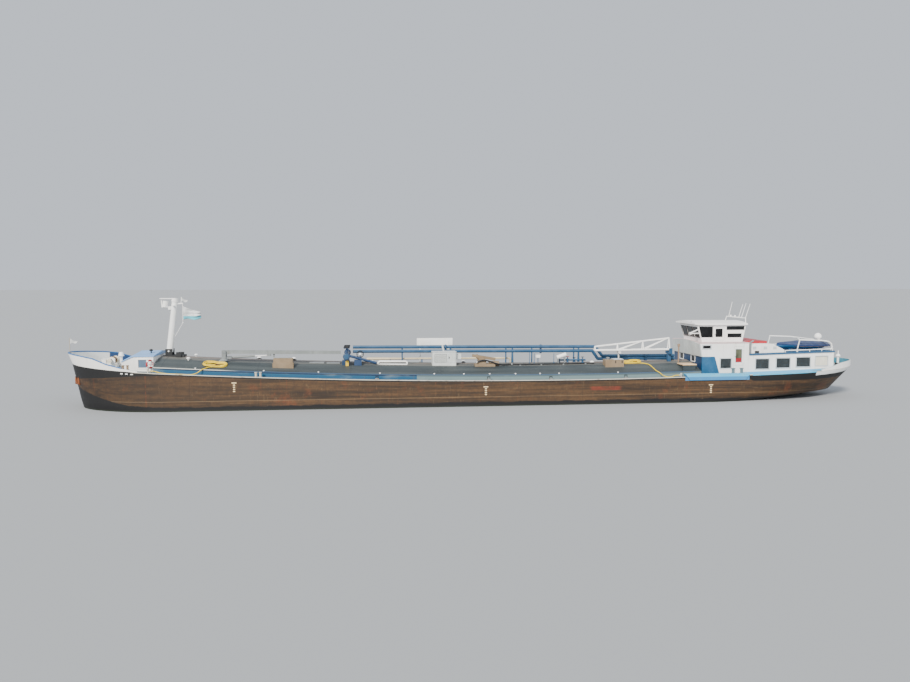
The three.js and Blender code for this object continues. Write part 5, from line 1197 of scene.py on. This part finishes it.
def pipe_fittings():
    """Trim of the manifold, the service pipes and the valves on the tank deck."""
    made = Build("manifold_trim")
    wheel = at(19.1, 0.9, 3.33)
    made.torus(wheel, ACROSS, 0.11, 0.014, DARK, 32)
    made.lathe(wheel - Vector((0, 0.012, 0)), ACROSS, [(0, 0.045), (0.024, 0.045), (0.03, 0.03)], WHITE, 20)
    for k in range(3):
        a = math.radians(60 * k)
        reach = Vector((math.cos(a), 0, math.sin(a))) * 0.11
        made.tube([wheel - reach, wheel + reach], 0.007, DARK, 8)
    made.tube([wheel, at(19.1, 0.9, 2.98)], 0.02, NAVY, 12)
    made.box(18.14, 18.34, 1.28, 1.48, trunk(18.24, 1.38) - 0.02, 2.95, YELLOW)
    for y in (-0.9, 0.1, 1.0):
        made.torus(at(18.2, y, 3.8), UP, 0.1, 0.012, DARK, 28, 8)
        for h in (2.72, 2.98):
            made.post(18.2, y, h, [(0, 0.085), (0.018, 0.085), (0.02, 0.07)], NAVY)
    for out in BOTH:
        end = at(18.2, out * 1.72, 3.25)
        made.lathe(end, (0, out, 0), [(0, 0.105), (0.016, 0.105), (0.02, 0.09)], STEEL_BLUE)
        made.bolts(end, (0, out, 0), 0.085, 8, [(0, 0.01), (0.026, 0.01), (0.028, 0.006)])
    made.done("navy", 0.0015)

    made = Build("service_pipes")
    for h, y in [(2.8, 0.6), (2.6, 0.75)]:
        run = [at(20.3, y, trunk(20.3, y)), at(20.34, y, h - 0.05), at(20.42, y, h), at(22.2, y, h - 0.02),
               at(22.28, y, h - 0.07), at(22.3, y, trunk(22.3, y))]
        made.tube(run, 0.028, WHITE, 14)
    run = [(19.5, trunk(19.5, 0.62)), (19.53, 2.8), (19.6, 2.87)]
    run += [(s, 2.87 - (s - 19.6) * 0.006) for s in (22, 24.5, 27, 29.6)]
    run += [(29.7, 2.75), (29.72, trunk(29.7, 0.62))]
    made.tube(along(run, -0.62), 0.034, CREAM, 14)
    for s in (21.2, 23.4, 25.6, 27.8):
        top = 2.82 - (s - 19.6) * 0.006
        made.box(s - 0.04, s + 0.04, -0.7, -0.54, trunk(s, 0.62) - 0.02, top, STEEL_BLUE)
    made.done("white")

    made = Build("pipe_bolts")
    for s in (25.0, 31.8):
        for h in (3.72, 3.42):
            centre = at(s - 0.03, -0.35, h - (s - 18.6) * 0.0071)
            made.bolts(centre, (-1, 0, 0), 0.068, 8, [(0, 0.007), (0.07, 0.007), (0.072, 0.004)], 22)
    made.done("blue")

    made = Build("valve_cluster")
    for s, y, high in [(33.1, -0.05, 2.9), (33.7, 0.05, 2.95), (34.2, -0.02, 2.86), (34.75, 0.2, 2.92)]:
        foot = trunk(s, y)
        tall = (high - foot) * K
        made.post(s, y, foot - 0.01, [
            (0, 0.07), (0.015, 0.07), (0.016, 0.035), (tall * 0.45, 0.035), (tall * 0.46, 0.055),
            (tall * 0.6, 0.055), (tall * 0.61, 0.02), (tall, 0.012)], STEEL_BLUE, 16)
        wheel = at(s, y, foot - 0.01) + Vector((0, 0, tall))
        made.torus(wheel, UP, 0.055, 0.007, RED if s == 33.7 else DARK, 24, 8)
        made.tube([wheel + Vector((reach, 0, 0)) for reach in (-0.055, 0.055)], 0.005, DARK, 6)
    foot = trunk(33.9, 0)
    made.tube([at(33.0, 0.02, foot + 0.14), at(35.0, 0.1, foot + 0.14)], 0.03, STEEL_BLUE, 14)
    made.done("blue")

    made = Build("deck_line")

    def line_y(s):
        return 1.04 - 0.055 * (s - 28.75)
    run = [at(s, line_y(s), trunk(s, 1.0) + 0.08) for s in (29.9, 31.0, 32.6, 34.2, 35.1)]
    made.tube([at(29.52, 1.015, trunk(29.52, 1.015) + 0.1)] + run, 0.02, DARK, 12)
    for s in (30.1, 31.6, 33.2, 34.8):
        y = line_y(s)
        made.box(s - 0.05, s + 0.05, y - 0.1, y + 0.1, trunk(s, y) - 0.03, trunk(s, y) + 0.05, GREY)
    made.done("dark")


def deck_fittings():
    """Posts, boxes, vents, grating and louvres on the tank deck and its coaming."""
    made = Build("grating")
    h = trunk(19.4, 0.0) + 0.03
    for i in range(12):
        y = -0.34 + i * 0.062
        made.box(18.9, 20.0, y, y + 0.02, h, h + 0.04, FRAME_GREY)
    for s in (18.9, 19.25, 19.6, 19.97):
        made.box(s, s + 0.03, -0.36, 0.38, h - 0.07, h + 0.02, DARK)
    made.done("grey", 0.0008)

    made = Build("deck_posts")
    for s, y, high, look in [(24.97, 0.0, 3.47, PINKISH), (30.92, 0.2, 3.3, STEEL_BLUE),
                             (31.26, 0.2, 3.2, STEEL_BLUE), (32.67, 0.2, 3.2, STEEL_BLUE)]:
        tall = (high - trunk(s, y)) * K
        made.post(s, y, trunk(s, y) - 0.01, [
            (0, 0.035), (0.012, 0.035), (0.013, 0.011), (tall, 0.01), (tall + 0.01, 0.006)], look, 14)
    made.tube([at(31.62, -0.2, trunk(31.62, 0.2) - 0.02), at(31.62, -0.2, 2.9)], 0.014, STEEL_BLUE, 12)
    made.box(31.47, 31.77, -0.32, -0.08, 2.86, 3.08, WHITE)
    made.box(31.45, 31.79, -0.34, -0.06, 3.08, 3.105, FRAME_GREY)
    made.tube([at(32.87, 0.3, 2.9), at(33.52, 0.3, 3.12)], 0.07, WHITE, 20)
    for s, h in [(32.95, 2.84), (33.42, 3.0)]:
        made.box(s - 0.04, s + 0.04, 0.22, 0.38, trunk(s, 0.3) - 0.02, h, GREY)
    made.done("white", 0.002)

    made = Build("mushroom_vents")
    for s, y in [(35.32, 0.6), (26.4, -1.1), (14.6, 0.0), (12.2, -0.7)]:
        foot = [(0, 0.09), (0.02, 0.09), (0.022, 0.045), (0.05, 0.045)]
        made.post(s, y, trunk(s, y) - 0.01, foot, DARK, 24)
        made.post(s, y, trunk(s, y) + 0.07, [(0, 0.03), (0.012, 0.075), (0.02, 0.078), (0.04, 0.066),
                                             (0.056, 0.036), (0.062, 0.0)], WHITE, 24)
    made.done("white")

    made = Build("coaming_knobs")
    for s in (8.6, 12.9, 16.4, 20.4, 24.0, 25.98, 27.73, 29.49, 31.17, 32.48, 36.6):
        for out in BOTH:
            made.post(s, out * 2.5, trunk(s, 2.5) - 0.01, [
                (0, 0.02), (0.018, 0.02), (0.019, 0.03), (0.03, 0.03), (0.036, 0.012), (0.04, 0.0),
            ], WHITE, 16)
    for s in (31.82, 37.02, 20.2, 27.6):
        foot = deck(s)
        for out in BOTH:
            made.box(s - 0.12, s + 0.12, out * 2.84, out * 2.98, foot - 0.01, foot + 0.11, GALVANISED)
            hoop = [(s + ds, foot + up) for ds, up in
                    [(-0.08, 0.1), (-0.08, 0.24), (0.08, 0.24), (0.08, 0.1)]]
            made.tube(along(hoop, out * 2.91), 0.012, DARK, 8)
    made.done("grey", 0.001)

    made = Build("deck_pads")
    for s0, s1 in [(15.7, 16.7), (16.85, 17.75)]:
        h = trunk((s0 + s1) / 2, 0.62)
        made.box(s0, s1, 0.36, 0.9, h - 0.05, h + 0.035, GREY)
    made.done("grey", 0.002)

    made = Build("locker_trim")
    cowl = [(0, 0.05), (0.05, 0.05), (0.052, 0.07), (0.07, 0.06), (0.075, 0.0)]
    made.post(36.25, 1.3, 2.84, cowl, GREY, 18)
    made.box(36.6, 37.26, 0.98, 1.67, 2.84, 2.87, FRAME_GREY)
    for s in (36.7, 37.16):
        made.box(s - 0.03, s + 0.03, 1.65, 1.672, 2.6, 2.78, DARK)
    made.done("beige", 0.0015)

    made = Build("pump_louvres")
    made.box(24.14, 25.0, 1.05, 1.056, 2.74, 3.28, GREY)
    for i in range(9):
        h = 2.77 + 0.057 * i
        slat = [(24.16, 1.05, h), (24.98, 1.05, h), (24.98, 1.085, h - 0.03), (24.16, 1.085, h - 0.03)]
        made.prism([at(*corner) for corner in slat], (0, 0, 0.006), PALE_GREY)
    outer, inner = (along(rect(25.1, 25.54, 2.74, 3.3, grow), 1.051) for grow in (0.04, 0))
    made.frame(outer, inner, (0, 0.006, 0), FRAME_GREY)
    made.box(25.12, 25.16, 1.05, 1.1, 3.0, 3.12, DARK)
    made.box(24.0, 25.66, 0.13, 1.07, 3.42, 3.45, FRAME_GREY)
    made.done("grey", 0.001)


def house_fittings():
    made = Build("wheelhouse_lights")
    made.tube([at(42.72, 1.5, 4.9), at(42.12, 1.5, 4.64)], 0.02, WHITE)
    made.tube([at(42.82, 1.5, 4.62), at(42.1, 1.5, 4.6)], 0.018, WHITE)
    made.box(42.06, 42.16, 1.4, 1.6, 4.54, 4.7, WHITE)
    for y in (-0.9, 0, 0.9):
        made.box(42.4, 42.48, y - 0.05, y + 0.05, 5.34, 5.42, DARK)
    made.done("white", 0.0015)

    made = Build("wheelhouse_console")
    made.box(43.1, 43.5, -1.2, 1.2, 4.02, 4.5, DARK)
    made.done("dark", 0.004)

    made = Build("casing_trim")
    for out in BOTH:
        made.box(46.55, 46.86, out * 2.2, out * 2.24, 3.26, 3.4, DARK)
        for s in (46.4, 47.2, 47.9):
            made.box(s, s + 0.26, out * 2.2, out * 2.21, 3.5, 3.7, FRAME_GREY)
    made.done("dark", 0.001)

    made = Build("stern_post")
    foot = deck(54.2)
    top_shade = [((h - foot) * K, r) for h, r in [(2.74, 0.04), (2.75, 0.085), (2.9, 0.06), (2.91, 0.018),
                                              (3.17, 0.016), (3.18, 0.0)]]
    made.post(54.2, 0, foot - 0.01, [(0, 0.09), (0.02, 0.09), (0.022, 0.04)] + top_shade, WHITE)
    made.done("white")

    made = Build("stern_bollards")
    for out in BOTH:
        for s in (53.05, 53.45):
            made.post(s, out * 1.65, deck(s) - 0.01, [
                (0, 0.05), (0.17, 0.05), (0.171, 0.066), (0.19, 0.066), (0.195, 0.0)], DARK)
        foot = deck(53.25)
        made.box(52.85, 53.65, out * 1.52, out * 1.78, foot - 0.01, foot + 0.03, DARK)
    made.done("dark")


def mast_trim():
    made = Build("mast_lights", "mast")
    up, pin_h = 2.72, 3.62
    s = 6.45 + up * math.tan(0.121) - 0.28
    made.post(s, 0, pin_h + up, [(0, 0.03), (0.01, 0.045), (0.07, 0.045), (0.08, 0.03), (0.1, 0.0)], WHITE)
    made.box(s, s + 0.2, -0.05, 0.05, pin_h - 0.02 + up, pin_h + 0.01 + up, DARK)
    made.done("white", 0.001)
    rows = flag_rows((7.24, 7.2), (7.68, 7.0), (7.68, 6.92), (7.24, 6.88), 0.8, 0.03, 14, 7)
    piece = cloth("mast_pennant_cloth", rows, PENNANT_CLOTH, "mast", "white")
    round(grid_area(rows), 4)


lay_hose("hose_fore", FORE_HOSE)
lay_hose("hose_aft", AFT_HOSE)
lay_pump_hose()
stage_floor()
studio_light()
soft_flags()
soft_cover()
house_windows()
curtains()
wheelhouse_windows()
door_glass()
house_end_windows()
marks()
lifebuoy()
bow_trim()
fore_gear()
pipe_fittings()
deck_fittings()
house_fittings()
mast_trim()
